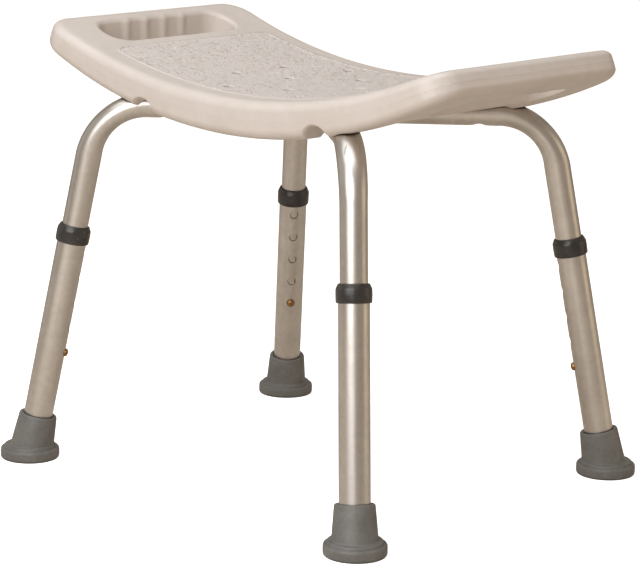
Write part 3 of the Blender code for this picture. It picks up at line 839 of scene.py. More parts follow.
@dataclass(frozen=True)
class PlainMetal(Finish):
    """Small metal hardware, tarnished in patches and finely scratched."""

    patch_scale: float = 320.0

    def detail(self, graph: Graph, shader: bpy.types.Node) -> None:
        """Feed the shader over the piece.

        Args:
            graph: The material's graph.
            shader: Its shader.
        """
        place = self.place(graph)
        patches = EFFECTS.use(graph, Effect.MOTTLE, Vector=place, Scale=self.patch_scale)
        scuffs = EFFECTS.use(graph, Effect.SCUFFS, Vector=place, Scale=self.patch_scale * 2.2, Amount=0.20)
        rubbed = graph.times(scuffs.outputs["Mask"], 0.30)
        graph.feed(shader.inputs["Base Color"],
                   graph.mix(rubbed, self.patched(graph, patches), self.shade_colour))
        graph.feed(shader.inputs["Roughness"], self.around(graph, patches.outputs["Mask"], 0.16))
        grain = EFFECTS.use(graph, Effect.GRAIN, Vector=place, Scale=self.patch_scale * 6)
        graph.feed(shader.inputs["Normal"], graph.bump(grain.outputs["Height"], 0.000015))


@dataclass(frozen=True)
class PaleFloor(Finish):
    """Seamless pale floor, white to the eye and warm where it lights things."""

    bounce_colour: Colour = (0.64, 0.57, 0.49)
    patch_scale: float = 3.0
    glow: float = 0.78

    def detail(self, graph: Graph, shader: bpy.types.Node) -> None:
        """Feed the shader a soft unevenness and a warm bounce.

        Args:
            graph: The material's graph.
            shader: Its shader.
        """
        patches = EFFECTS.use(graph, Effect.MOTTLE, Vector=self.place(graph), Scale=self.patch_scale)
        seen = graph.add("ShaderNodeLightPath").outputs["Is Camera Ray"]
        graph.feed(shader.inputs["Base Color"],
                   graph.mix(seen, self.bounce_colour, self.patched(graph, patches)))
        graph.feed(shader.inputs["Roughness"], self.around(graph, patches.outputs["Mask"], 0.05))
        shader.inputs["Emission Color"].default_value = (1.0, 1.0, 1.0, 1.0)
        graph.feed(shader.inputs["Emission Strength"], graph.times(seen, self.glow))
        shader.inputs["Specular IOR Level"].default_value = 0.0


SEAT_FINISH = SeatPlastic("moulded_seat_plastic", (0.67, 0.605, 0.565), (0.63, 0.565, 0.522), 0.38)
TUBE_FINISH = SatinAluminium("satin_aluminium", (0.70, 0.665, 0.63), (0.62, 0.585, 0.55), 0.33, 1.0)
COLLAR_FINISH = CollarPlastic("dark_collar_plastic", (0.032, 0.029, 0.028), (0.043, 0.039, 0.037), 0.24)
RUBBER_FINISH = GreyRubber("grey_rubber", (0.172, 0.168, 0.160), (0.140, 0.136, 0.128), 0.44)
STEEL_FINISH = PlainMetal("zinc_plated_steel", (0.60, 0.60, 0.60), (0.42, 0.41, 0.40), 0.34, 1.0)
SPRING_FINISH = PlainMetal("blued_spring_steel", (0.34, 0.34, 0.37), (0.24, 0.23, 0.24), 0.32, 1.0)
BRASS_FINISH = PlainMetal("worn_brass", (0.46, 0.26, 0.10), (0.22, 0.11, 0.045), 0.36, 1.0, 420.0)
FLOOR_FINISH = PaleFloor("pale_floor", (0.93, 0.93, 0.93), (0.91, 0.91, 0.91), 0.8)


# ---------------------------------------------------------------- placing pieces
def add_piece(name: str, bm: BMesh, finish: Finish, body: str, nodes: Sequence[str],
              reference: Optional[SmoothSkin] = None) -> bpy.types.Object:
    """Turn a body into a finished piece of the model.

    Args:
        name: The piece's name.
        bm: Its mesh in place; it is freed.
        finish: What it is made of.
        body: The CAD body it moves with.
        nodes: The CAD nodes it stands for.
        reference: The uncut skin whose shading it keeps.

    Returns:
        The piece.
    """
    mesh = bpy.data.meshes.new(name)
    bm.to_mesh(mesh)
    bm.free()
    shade(mesh, reference)
    mesh.materials.append(finish.material())
    piece = bpy.data.objects.new(name, mesh)
    bpy.context.scene.collection.objects.link(piece)
    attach(piece, body)
    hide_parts(*nodes)
    LOG.info("%s: %d faces, on %s", name, len(mesh.polygons), body)
    return piece


def dress_node(node: str, finish: Finish) -> None:
    """Give a CAD node that stays its finish.

    Args:
        node: The node's name.
        finish: What it is made of.
    """
    mesh = frame["nodes"][node].data
    mesh.materials.clear()
    mesh.materials.append(finish.material())
    LOG.info("%s: kept from the CAD", node)


def stamp_tube_place(piece: bpy.types.Object, locate: Callable[[Vector], Vector]) -> None:
    """Store each vertex's place along and round its tube for the finish.

    Args:
        piece: The tube's piece.
        locate: Finds the place from a point.
    """
    store = piece.data.attributes.new(TUBE_PLACE, "FLOAT_VECTOR", "POINT")
    for item, vertex in zip(store.data, piece.data.vertices):
        item.vector = locate(vertex.co)


@dataclass(frozen=True)
class LegFrame:
    """A leg's own axes: origin at its foot, Z up the leg, X towards the stool's middle."""

    corner: Corner
    matrix: Matrix

    @classmethod
    def of(cls, corner: Corner) -> "LegFrame":
        """Read a leg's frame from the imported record's mount and joint.

        Args:
            corner: Which leg.

        Returns:
            Its frame.
        """
        record = frame["record"]
        mount = next(m for m in record["mounts"] if m["name"] == f"floor_contact_{corner.value}")
        joint = next(j for j in frame["joints"] if j["name"] == f"leg_extension_{corner.value}")
        foot, up = Vector(mount["pos_m"]), -Vector(joint["axis"]).normalized()
        side = up.cross(-Vector((foot.x, foot.y, 0.0)).normalized()).normalized()
        matrix = Matrix((side.cross(up), side, up)).transposed().to_4x4()
        matrix.translation = foot
        return cls(corner, matrix)

    @property
    def foot(self) -> Vector:
        """The foot's centre on the floor."""
        return self.matrix.translation

    @property
    def up(self) -> Vector:
        """The direction up the leg."""
        return self.matrix.col[2].to_3d()

    @property
    def outward(self) -> Vector:
        """The level direction from the stool's middle to the foot."""
        return Vector((self.foot.x, self.foot.y, 0.0)).normalized()

    @property
    def lean(self) -> float:
        """The angle between the leg and the plumb line."""
        return math.acos(self.up.z)

    def across(self, height: float) -> Matrix:
        """Return a frame on the leg whose Z points at the stool's middle."""
        return self.matrix @ Matrix.Translation((0, 0, height)) @ Matrix.Rotation(QUARTER, 4, "Y")


LEGS = {corner: LegFrame.of(corner) for corner in Corner}


# ---------------------------------------------------------------- frame tubes
@dataclass(frozen=True)
class Station:
    """One section along a crossbar."""

    point: Vector
    tangent: Vector
    flatness: float = 0.0
    dent: float = 0.0
    squash: float = 0.0


@dataclass
class Crossbar:
    """A bent tube that crosses under the seat and ends in two upper legs."""

    crossing: Crossing
    radius: float = 0.0127
    wall: float = 0.0013
    height: float = 0.356
    bend_radius: float = 0.061
    bend_squash: float = 0.0014
    bend_steps: int = 20
    sides: int = 48
    flat_half_height: float = 0.0061
    flat_reach: tuple[float, float] = (0.024, 0.047)
    screw_out: float = 0.150
    dent_depth: float = 0.0011
    dent_reach: float = 0.011
    dent_steps: int = 8
    flat_steps: int = 10
    tube_end: float = 0.062
    button_height: float = 0.112
    groove_depth: float = 0.016
    access_drill: Drill = (0.0064, -0.020, -0.004)
    screw_drill: Drill = (0.0031, 0.004, 0.020)
    button_drill: Drill = (0.0044, 0.004, 0.016)
    rivet_drill: Drill = (0.0035, -0.030, 0.030)

    @property
    def corners(self) -> tuple[Corner, Corner]:
        """The two legs the tube ends in."""
        upper = self.crossing is Crossing.UPPER
        return (Corner.BACK_RIGHT, Corner.FRONT_LEFT) if upper else (Corner.FRONT_RIGHT, Corner.BACK_LEFT)

    @property
    def direction(self) -> Vector:
        """The level direction of the tube."""
        return LEGS[self.corners[0]].outward

    @property
    def side(self) -> Vector:
        """The level direction across the tube."""
        return Vector((-self.direction.y, self.direction.x, 0.0))

    def half(self, with_leg: bool) -> list[tuple]:
        """Lay out half the route in its own plane.

        Args:
            with_leg: Whether the straight leg follows the bend.

        Returns:
            The sections as (out, up, tangent angle, flatness, dent, squash).
        """
        leg = LEGS[self.corners[0]]
        foot_out = Vector((leg.foot.x, leg.foot.y)).length
        turn = QUARTER - leg.lean
        bend_start = foot_out - math.tan(leg.lean) * self.height - self.bend_radius * math.tan(turn / 2)
        start, end = self.flat_reach
        half = []
        for i in range(self.flat_steps + 1):
            out = start + (end - start) * i / self.flat_steps
            half.append((out, self.height, 0.0, 1 - smooth_step(i / self.flat_steps), 0.0, 0.0))
        for i in range(-self.dent_steps, self.dent_steps + 1):
            out = self.screw_out + i * self.dent_reach / 5
            half.append((out, self.height, 0.0, 0.0, math.exp(-(i / 2.5) ** 2), 0.0))
        for i in range(self.bend_steps + 1):
            angle = turn * i / self.bend_steps
            out = bend_start + self.bend_radius * math.sin(angle)
            up = self.height - self.bend_radius * (1 - math.cos(angle))
            half.append((out, up, -angle, 0.0, 0.0, math.sin(2 * QUARTER * i / self.bend_steps)))
        if with_leg:
            for along in (0.200, self.button_height + 0.01, self.button_height - 0.01, self.tube_end):
                out, up = foot_out - along * math.sin(leg.lean), along * math.cos(leg.lean)
                half.append((out, up, -turn, 0.0, 0.0, 0.0))
        return sorted(half, key=lambda part: (-part[2], part[0]) if part[2] > -turn + 1e-6
                      else (turn, -part[1]))

    def stations(self, with_legs: bool = True) -> list[Station]:
        """Lay out both halves of the route.

        Args:
            with_legs: Whether the straight legs are included.

        Returns:
            The sections from end to end.
        """
        result = []
        half = self.half(with_legs)
        for sign, part in ((-1, reversed(half)), (1, half)):
            for out, up, angle, flatness, dent, squash in part:
                point = self.direction * (sign * out) + Vector((0, 0, up))
                tangent = self.direction * math.cos(angle) + Vector((0, 0, sign * math.sin(angle)))
                result.append(Station(point, tangent, flatness, dent, squash))
        return result

    def half_height(self, flatness: float) -> float:
        """Return half the section's height, from round (0) to flattened (1)."""
        return self.radius + (self.flat_half_height - self.radius) * flatness

    def spread(self, flatness: float) -> float:
        """Return half the flat width that keeps a flattened section's perimeter."""
        return (self.radius - self.half_height(flatness)) * QUARTER

    def section(self, station: Station, inset: float) -> list[Vector]:
        """Draw one ring of the tube.

        Args:
            station: Where the ring lies, and how far it is flattened, dented or squashed.
            inset: How far inside the outer skin it runs.

        Returns:
            The ring's points.
        """
        up = station.tangent.cross(self.side)
        half_height, spread = self.half_height(station.flatness), self.spread(station.flatness)
        lift = self.crossing.value * station.flatness * (self.flat_half_height + FIT_GAP / 2)
        ring = []
        for i in range(self.sides):
            angle = 4 * QUARTER * (i + 0.5) / self.sides
            across, rise = math.cos(angle), math.sin(angle)
            height = (half_height - self.bend_squash * station.squash - inset) * rise
            height += self.dent_depth * station.dent * rise * (rise if rise < 0 else -rise / 2)
            width = (half_height + self.bend_squash * station.squash / 2 - inset) * across
            width += math.copysign(spread, across)
            ring.append(station.point + self.side * width + up * (height + lift))
        return ring

    def drill(self) -> BMesh:
        """Make the tools for the screw, button and rivet holes.

        Returns:
            The tools in one body.
        """
        tools = [moved(cylinder(*self.rivet_drill), Matrix.Translation((0, 0, self.height)))]
        for corner in self.corners:
            leg = LEGS[corner]
            place = Matrix.Translation(leg.outward * self.screw_out + Vector((0, 0, self.height)))
            tools.append(moved(cylinder(*self.access_drill, self.sides), place))
            tools.append(moved(cylinder(*self.screw_drill), place))
            tools.append(moved(cylinder(*self.button_drill), leg.across(self.button_height)))
        return gathered(tools)

    def locate(self, point: Vector) -> Vector:
        """Find a point's place on the tube.

        Args:
            point: The point.

        Returns:
            How far it lies across, above and along the tube's middle line.
        """
        best = min(range(len(self.route)), key=lambda i: (self.route[i][0].point - point).length_squared)
        station, along = self.route[best]
        offset = point - station.point
        return Vector((offset.dot(self.side), offset.dot(station.tangent.cross(self.side)),
                       along + offset.dot(station.tangent)))

    def build(self) -> bpy.types.Object:
        """Make the tube.

        Returns:
            Its piece.
        """
        stations = self.stations()
        total, self.route = 0.0, [(stations[0], 0.0)]
        for before, after in zip(stations, stations[1:]):
            total += (after.point - before.point).length
            self.route.append((after, total))
        outer = [self.section(station, 0.0) for station in stations]
        inner = [self.section(station, self.wall) for station in reversed(stations)]
        reference = SmoothSkin(skin(outer))
        tube = carve(skin(outer + inner, closed=True), [(self.drill(), Cut.AWAY)])
        name = self.crossing.name.lower()
        piece = add_piece(f"{name}_crossbar_tube", tube, TUBE_FINISH, "seat_frame",
                          [f"crossbar_tube_{name}"], reference)
        stamp_tube_place(piece, self.locate)
        return piece

    def groove(self) -> BMesh:
        """Make the body of the groove that the tube lies in under the seat.

        Returns:
            The groove, open downwards.
        """
        rings = []
        for station in self.stations(with_legs=False):
            up = station.tangent.cross(self.side)
            radius = self.half_height(station.flatness) + 2 * FIT_GAP
            spread = self.spread(station.flatness)
            lift = station.flatness * (self.flat_half_height + FIT_GAP / 2)
            outline = [(-radius - spread, -self.groove_depth), (radius + spread, -self.groove_depth)]
            outline += [(x + math.copysign(spread, x), y + lift)
                        for x, y in arc((0, 0), radius, 0.0, 2 * QUARTER, 15)]
            rings.append([station.point + self.side * x + up * y for x, y in outline])
        return skin(rings)


@dataclass
class CentreRivet:
    """The rivet and washer that hold the crossing together."""

    height: float = 0.356
    stack: float = 0.01235
    shank: float = 0.0032
    head: float = 0.0070
    head_height: float = 0.0016
    washer: float = 0.0008
    rolled_end: Offsets = ((0.00595, 0.0), (0.00595, 0.0004), (0.00504, 0.0009), (0.00288, 0.0009),
                           (0.00192, 0.0003), (0.0, 0.0003))

    def build(self) -> None:
        """Make the rivet with its domed head and rolled end."""
        low, high = self.height - self.stack - FIT_GAP, self.height + self.stack + FIT_GAP
        top = high + self.washer + FIT_GAP
        profile = [(self.head * math.sin(a), low - self.head_height * math.cos(a))
                   for a in turns(0.0, QUARTER, 8)[:-1]]
        profile += [(self.head, low - 0.0002), (self.head, low), (self.shank, low), (self.shank, top)]
        profile += [(radius, top + rise) for radius, rise in self.rolled_end]
        add_piece("crossing_rivet", lathe(profile, 40), STEEL_FINISH, "seat_frame", ["centre_rivet"])
        dress_node("centre_rivet_washer", STEEL_FINISH)


# ---------------------------------------------------------------- seat
@dataclass
class Seat:
    """The moulded seat: drawn flat, then bent upwards along X to an arc."""

    half_length: float = 0.2585
    half_width: float = 0.1360
    corner_radius: float = 0.0295
    mid_thickness: float = 0.036
    end_thickness: float = 0.0262
    bend_radius: float = 0.632
    edge_round: float = 0.0105
    edge_segments: int = 8
    strip: float = 0.0055
    slot_x: tuple[float, float] = (0.198, 0.2405)
    slot_half_width: float = 0.086
    slot_end_radius: float = 0.019
    slot_rounds: tuple[float, float] = (0.005, 0.002)
    finger_scallops: int = 5
    finger_pitch: float = 0.0257
    finger_ridge: float = 0.0024
    drain_radius: float = 0.0042
    drain_flare: float = 0.0024
    drain_places: tuple = ((0.0845, 0.034), (0.0458, 0.0853), (0.0458, 0.0), (0.0, 0.051))
    recess: tuple[float, float] = (0.186, 0.1085)
    recess_corner: float = 0.018
    recess_wall: Offsets = ((-0.002, 0.0010), (0.0, 0.0010), (0.0005, 0.0002), (0.0012, -0.0006),
                            (0.0030, -0.0024), (0.0037, -0.0034), (0.004, -0.0050))
    panel: tuple[float, float] = (0.183, 0.107)
    panel_corner: float = 0.012
    bead_half_width: float = 0.0015
    bead_height: float = 0.0006
    bead_root: float = 0.0008
    parting_ridge: float = 0.00025
    parting_half_width: float = 0.0005
    long_lines: tuple = (0.124, 0.1115, 0.1025, 0.066, 0.022)
    notch_x: float = 0.1125
    notch_radius: float = 0.0155
    notch_height: float = 0.3500
    notch_y: tuple[float, float] = (0.088, 0.150)
    notch_soft: float = 0.0032
    notch_lip: float = 0.0062
    insert_bore: float = 0.0048
    insert_depth: float = 0.0259
    rivet_pocket: tuple[float, float] = (0.0085, 0.0158)
    pocket_overlap: float = 0.003

    @property
    def centre_top(self) -> float:
        """The height of the seat's top at its centre, from the frame."""
        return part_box("seat")[0].z + self.mid_thickness

    def blank(self) -> BMesh:
        """Make the flat slab with rounded rims and a faint parting line.

        Returns:
            The slab, its top at height 0.
        """
        bm = block((2 * self.half_length, 2 * self.half_width, self.mid_thickness),
                   (0, 0, -self.mid_thickness / 2))
        upright = [e for e in bm.edges if abs(e.verts[0].co.z - e.verts[1].co.z) > self.mid_thickness / 2]
        bmesh.ops.bevel(bm, geom=upright, offset=self.corner_radius, segments=16, profile=0.5,
                        affect="EDGES", material=-1)
        rims = [e for e in bm.edges if e.is_manifold and abs(e.verts[0].co.z - e.verts[1].co.z) < 1e-6]
        bmesh.ops.bevel(bm, geom=rims, offset=self.edge_round, segments=self.edge_segments, profile=0.5,
                        affect="EDGES", material=-1)
        middle = -self.mid_thickness / 2
        for offset in (-self.parting_half_width, 0.0, self.parting_half_width):
            bisect(bm, (0, 0, middle + offset), (0, 0, 1))
        bm.normal_update()
        for vertex in bm.verts:
            if abs(vertex.co.z - middle) < 1e-6:
                vertex.co += vertex.normal * self.parting_ridge
        return bm

    def bead(self) -> BMesh:
        """Make the thin raised bead round the seating panel.

        Returns:
            The bead, its root below the slab's top.
        """
        profile = [(-self.bead_half_width, -self.bead_root)]
        profile += [(self.bead_half_width * x, self.bead_height * y)
                    for x, y in arc((0, 0), 1.0, 2 * QUARTER, 0.0, 6)]
        profile += [(self.bead_half_width, -self.bead_root)]
        half_x, half_y = self.panel
        rings = []
        for offset, height in profile:
            outline = rounded_rectangle(half_x + offset, half_y + offset, self.panel_corner + offset, 8)
            rings.append([Vector((x, y, height)) for x, y in outline])
        return skin(rings, closed=True)

    def slot_outline(self, growth: float) -> Outline:
        """Draw the right handle slot's outline with its finger ridges.

        Args:
            growth: How far outside the plain outline it runs.

        Returns:
            The outline.
        """
        inner, outer = self.slot_x[0] - growth, self.slot_x[1] + growth
        radius = self.slot_end_radius + growth
        end_y, steps = self.slot_half_width + growth - radius, 12
        outline = arc((inner + radius, end_y), radius, 2 * QUARTER, QUARTER, steps)
        outline += arc((outer - radius, end_y), radius, QUARTER, 0.0, steps)
        first = self.finger_scallops * self.finger_pitch / 2
        for i in range(steps // 2, self.finger_scallops * steps - steps // 2 + 1):
            ridge = self.finger_ridge * math.cos(2 * QUARTER * i / steps) ** 6
            outline.append((outer - ridge, first - self.finger_pitch * i / steps))
        outline += arc((outer - radius, -end_y), radius, 0.0, -QUARTER, steps)
        return outline + arc((inner + radius, -end_y), radius, -QUARTER, -2 * QUARTER, steps)

    def hole_levels(self, top_round: float, bottom_round: float, steps: int) -> Outline:
        """Lay out the levels of a hole through the slab.

        Args:
            top_round: The rounding of its upper mouth.
            bottom_round: The rounding of its lower mouth.
            steps: Steps of each rounding.

        Returns:
            (growth, height) from below the slab to above it.
        """
        bottom = -self.mid_thickness
        levels = [(bottom_round, bottom - 0.004)]
        levels += [(bottom_round * (1 - math.cos(a)), bottom + bottom_round * (1 - math.sin(a)))
                   for a in [QUARTER * (1 - i / steps) for i in range(steps + 1)]]
        levels += [(top_round * (1 - math.cos(a)), -top_round * (1 - math.sin(a)))
                   for a in turns(0.0, QUARTER, steps)]
        return levels + [(top_round, 0.004)]

    def thickness_ratio(self, along: float) -> float:
        """Return the thickness at a place along the arc, as a share of the middle's."""
        return 1 + (self.end_thickness / self.mid_thickness - 1) * (along / self.half_length) ** 2

    def upright(self, bm: BMesh) -> BMesh:
        """Slant a cutter so that its upright walls are upright again once the seat is bent.

        Args:
            bm: The cutter of the flat seat.

        Returns:
            The same cutter.
        """
        for vertex in bm.verts:
            along = vertex.co.x
            share = self.bend_radius / (self.bend_radius - vertex.co.z * self.thickness_ratio(along))
            vertex.co.x = self.bend_radius * math.asin(share * math.sin(along / self.bend_radius))
        return bm

    def slots(self) -> BMesh:
        """Make the cutters of both handle slots.

        Returns:
            The cutters in one body.
        """
        bodies = []
        for side in (1, -1):
            rings = [[Vector((side * x, y, height)) for x, y in self.slot_outline(growth)]
                     for growth, height in self.hole_levels(*self.slot_rounds, 7)]
            bodies.append(self.upright(skin(rings)))
        return gathered(bodies)

    def drains(self) -> BMesh:
        """Make the cutters of the flared drain holes, mirrored from one quadrant.

        Returns:
            The cutters in one body.
        """
        places = {(sx * x, sy * y) for x, y in self.drain_places for sx in (-1, 1) for sy in (-1, 1)}
        bodies = []
        for x, y in sorted(places):
            levels = self.hole_levels(self.drain_flare, 0.0008, 5)
            sides = [(self.drain_radius + growth, height) for growth, height in levels]
            hole = lathe([(0, levels[0][1])] + sides + [(0, levels[-1][1])], 28)
            bodies.append(self.upright(moved(hole, Matrix.Translation((x, y, 0)))))
        return gathered(bodies)

    def underside_recess(self) -> BMesh:
        """Make the cutter of the underside's shallow recess, with a rounded sloping wall.

        Returns:
            The cutter.
        """
        half_x, half_y = self.recess
        rings = []
        for height, growth in self.recess_wall:
            outline = rounded_rectangle(half_x + growth, half_y + growth, self.recess_corner, 8)
            rings.append([Vector((x, y, height - self.mid_thickness)) for x, y in outline])
        return skin(rings)

    def bend(self, bm: BMesh) -> None:
        """Bend the flat seat upwards about Y and thin it towards its ends.

        Args:
            bm: The flat seat.
        """
        strips, centre_top = math.ceil(self.half_length / self.strip), self.centre_top
        cuts = [((i * self.strip, 0, 0), (1, 0, 0)) for i in range(-strips, strips + 1)]
        cuts += [((0, side * y, 0), (0, 1, 0)) for side in (-1, 1) for y in self.long_lines]
        for place, normal in cuts:
            bisect(bm, place, normal)
        bmesh.ops.dissolve_degenerate(bm, dist=1e-6, edges=bm.edges)
        for vertex in bm.verts:
            along = vertex.co.x
            depth = -vertex.co.z * self.thickness_ratio(along)
            angle = along / self.bend_radius
            radius = self.bend_radius + depth
            vertex.co.x = radius * math.sin(angle)
            vertex.co.z = centre_top + self.bend_radius - radius * math.cos(angle)
        bmesh.ops.triangulate(bm, faces=bm.faces)
        bm.normal_update()

    def notches(self) -> BMesh:
        """Make the cutters of the half-round notches in the long rims, with soft mouths.

        Returns:
            The cutters in one body.
        """
        bodies = []
        inner, outer = self.notch_y
        soft, lip = self.notch_soft, self.half_width - self.notch_lip
        mouth = [(self.notch_radius + soft * (1 - math.cos(a)), lip + 2 * soft * math.sin(a))
                 for a in turns(0.0, QUARTER, 6)]
        for leg in LEGS.values():
            sx, sy = math.copysign(1, leg.foot.x), math.copysign(1, leg.foot.y)
            groove = lathe([(0, inner), (self.notch_radius, inner)] + mouth
                           + [(self.notch_radius + soft, outer), (0, outer)], 56)
            turn = Matrix.Rotation(-sy * QUARTER, 4, "X")
            bodies.append(moved(groove, Matrix.Translation((sx * self.notch_x, 0, self.notch_height)) @ turn))
        return gathered(bodies)

    def pockets(self, bars: Sequence[Crossbar]) -> BMesh:
        """Make the cutters of the inserts' blind bores and of the pocket over the rivet.

        Args:
            bars: The crossbars under the seat.

        Returns:
            The cutters in one body.
        """
        bar = bars[0]
        start = bar.height + bar.radius - self.pocket_overlap
        bodies = [moved(cylinder(self.insert_bore, start, bar.height + self.insert_depth),
                        Matrix.Translation(leg.outward * bar.screw_out)) for leg in LEGS.values()]
        radius, depth = self.rivet_pocket
        return gathered(bodies + [cylinder(radius, start, bar.height + depth)])

    def build(self, bars: Sequence[Crossbar]) -> bpy.types.Object:
        """Make the seat round the crossbars.

        Args:
            bars: The crossbars under the seat.

        Returns:
            Its piece.
        """
        flat = carve(self.blank(), [(self.bead(), Cut.JOIN), (self.slots(), Cut.AWAY),
                                    (self.drains(), Cut.AWAY), (self.underside_recess(), Cut.AWAY)])
        self.bend(flat)
        reference = SmoothSkin(flat)
        tools = [(bar.groove(), Cut.AWAY) for bar in bars]
        tools += [(self.notches(), Cut.AWAY), (self.pockets(bars), Cut.AWAY)]
        seat = carve(flat, tools)
        return add_piece("moulded_seat", seat, SEAT_FINISH, "seat_frame", ["seat"], reference)


@dataclass
class SeatFastener:
    """One screw that holds the seat to a crossbar, with its washer and threaded insert."""

    leg: LegFrame
    out: float = 0.150
    head_bottom: float = 0.3605
    head: float = 0.0044
    head_height: float = 0.0030
    shank: float = 0.0025
    end: float = 0.3796
    dome: float = 0.0012
    pitch: float = 0.0008
    plain_shank: float = 0.0035
    thread_depth: float = 0.0003
    point: tuple[float, float] = (0.0006, 0.001)
    recess: tuple[float, float, float] = (0.0052, 0.0009, 0.0032)

    def build(self) -> None:
        """Make the cross-recessed screw and dress the pieces round it."""
        low = self.head_bottom
        profile = [(self.head * math.sin(a) ** 0.8, low + self.dome * (1 - math.cos(a)))
                   for a in turns(0.0, QUARTER, 6)]
        profile += [(self.head, low + self.head_height), (self.shank, low + self.head_height)]
        start = low + self.head_height + self.plain_shank
        taper, taper_height = self.point
        for i in range(int((self.end - taper_height - start) / self.pitch)):
            profile += [(self.shank - self.thread_depth, start + i * self.pitch),
                        (self.shank, start + (i + 0.5) * self.pitch)]
        profile += [(self.shank - taper, self.end), (0, self.end)]
        long, wide, deep = self.recess
        arms = [moved(block(size, (0, 0, low)), Matrix.Rotation(QUARTER / 2, 4, "Z"))
                for size in ((long, wide, deep), (wide, long, deep))]
        screw = carve(lathe(profile, 32), [(arm, Cut.AWAY) for arm in arms])
        corner = self.leg.corner.value
        moved(screw, Matrix.Translation(self.leg.outward * self.out))
        add_piece(f"seat_bolt_{corner}", screw, STEEL_FINISH, "seat_frame", [f"seat_screw_{corner}"])
        dress_node(f"seat_washer_{corner}", STEEL_FINISH)
        dress_node(f"seat_insert_{corner}", BRASS_FINISH)


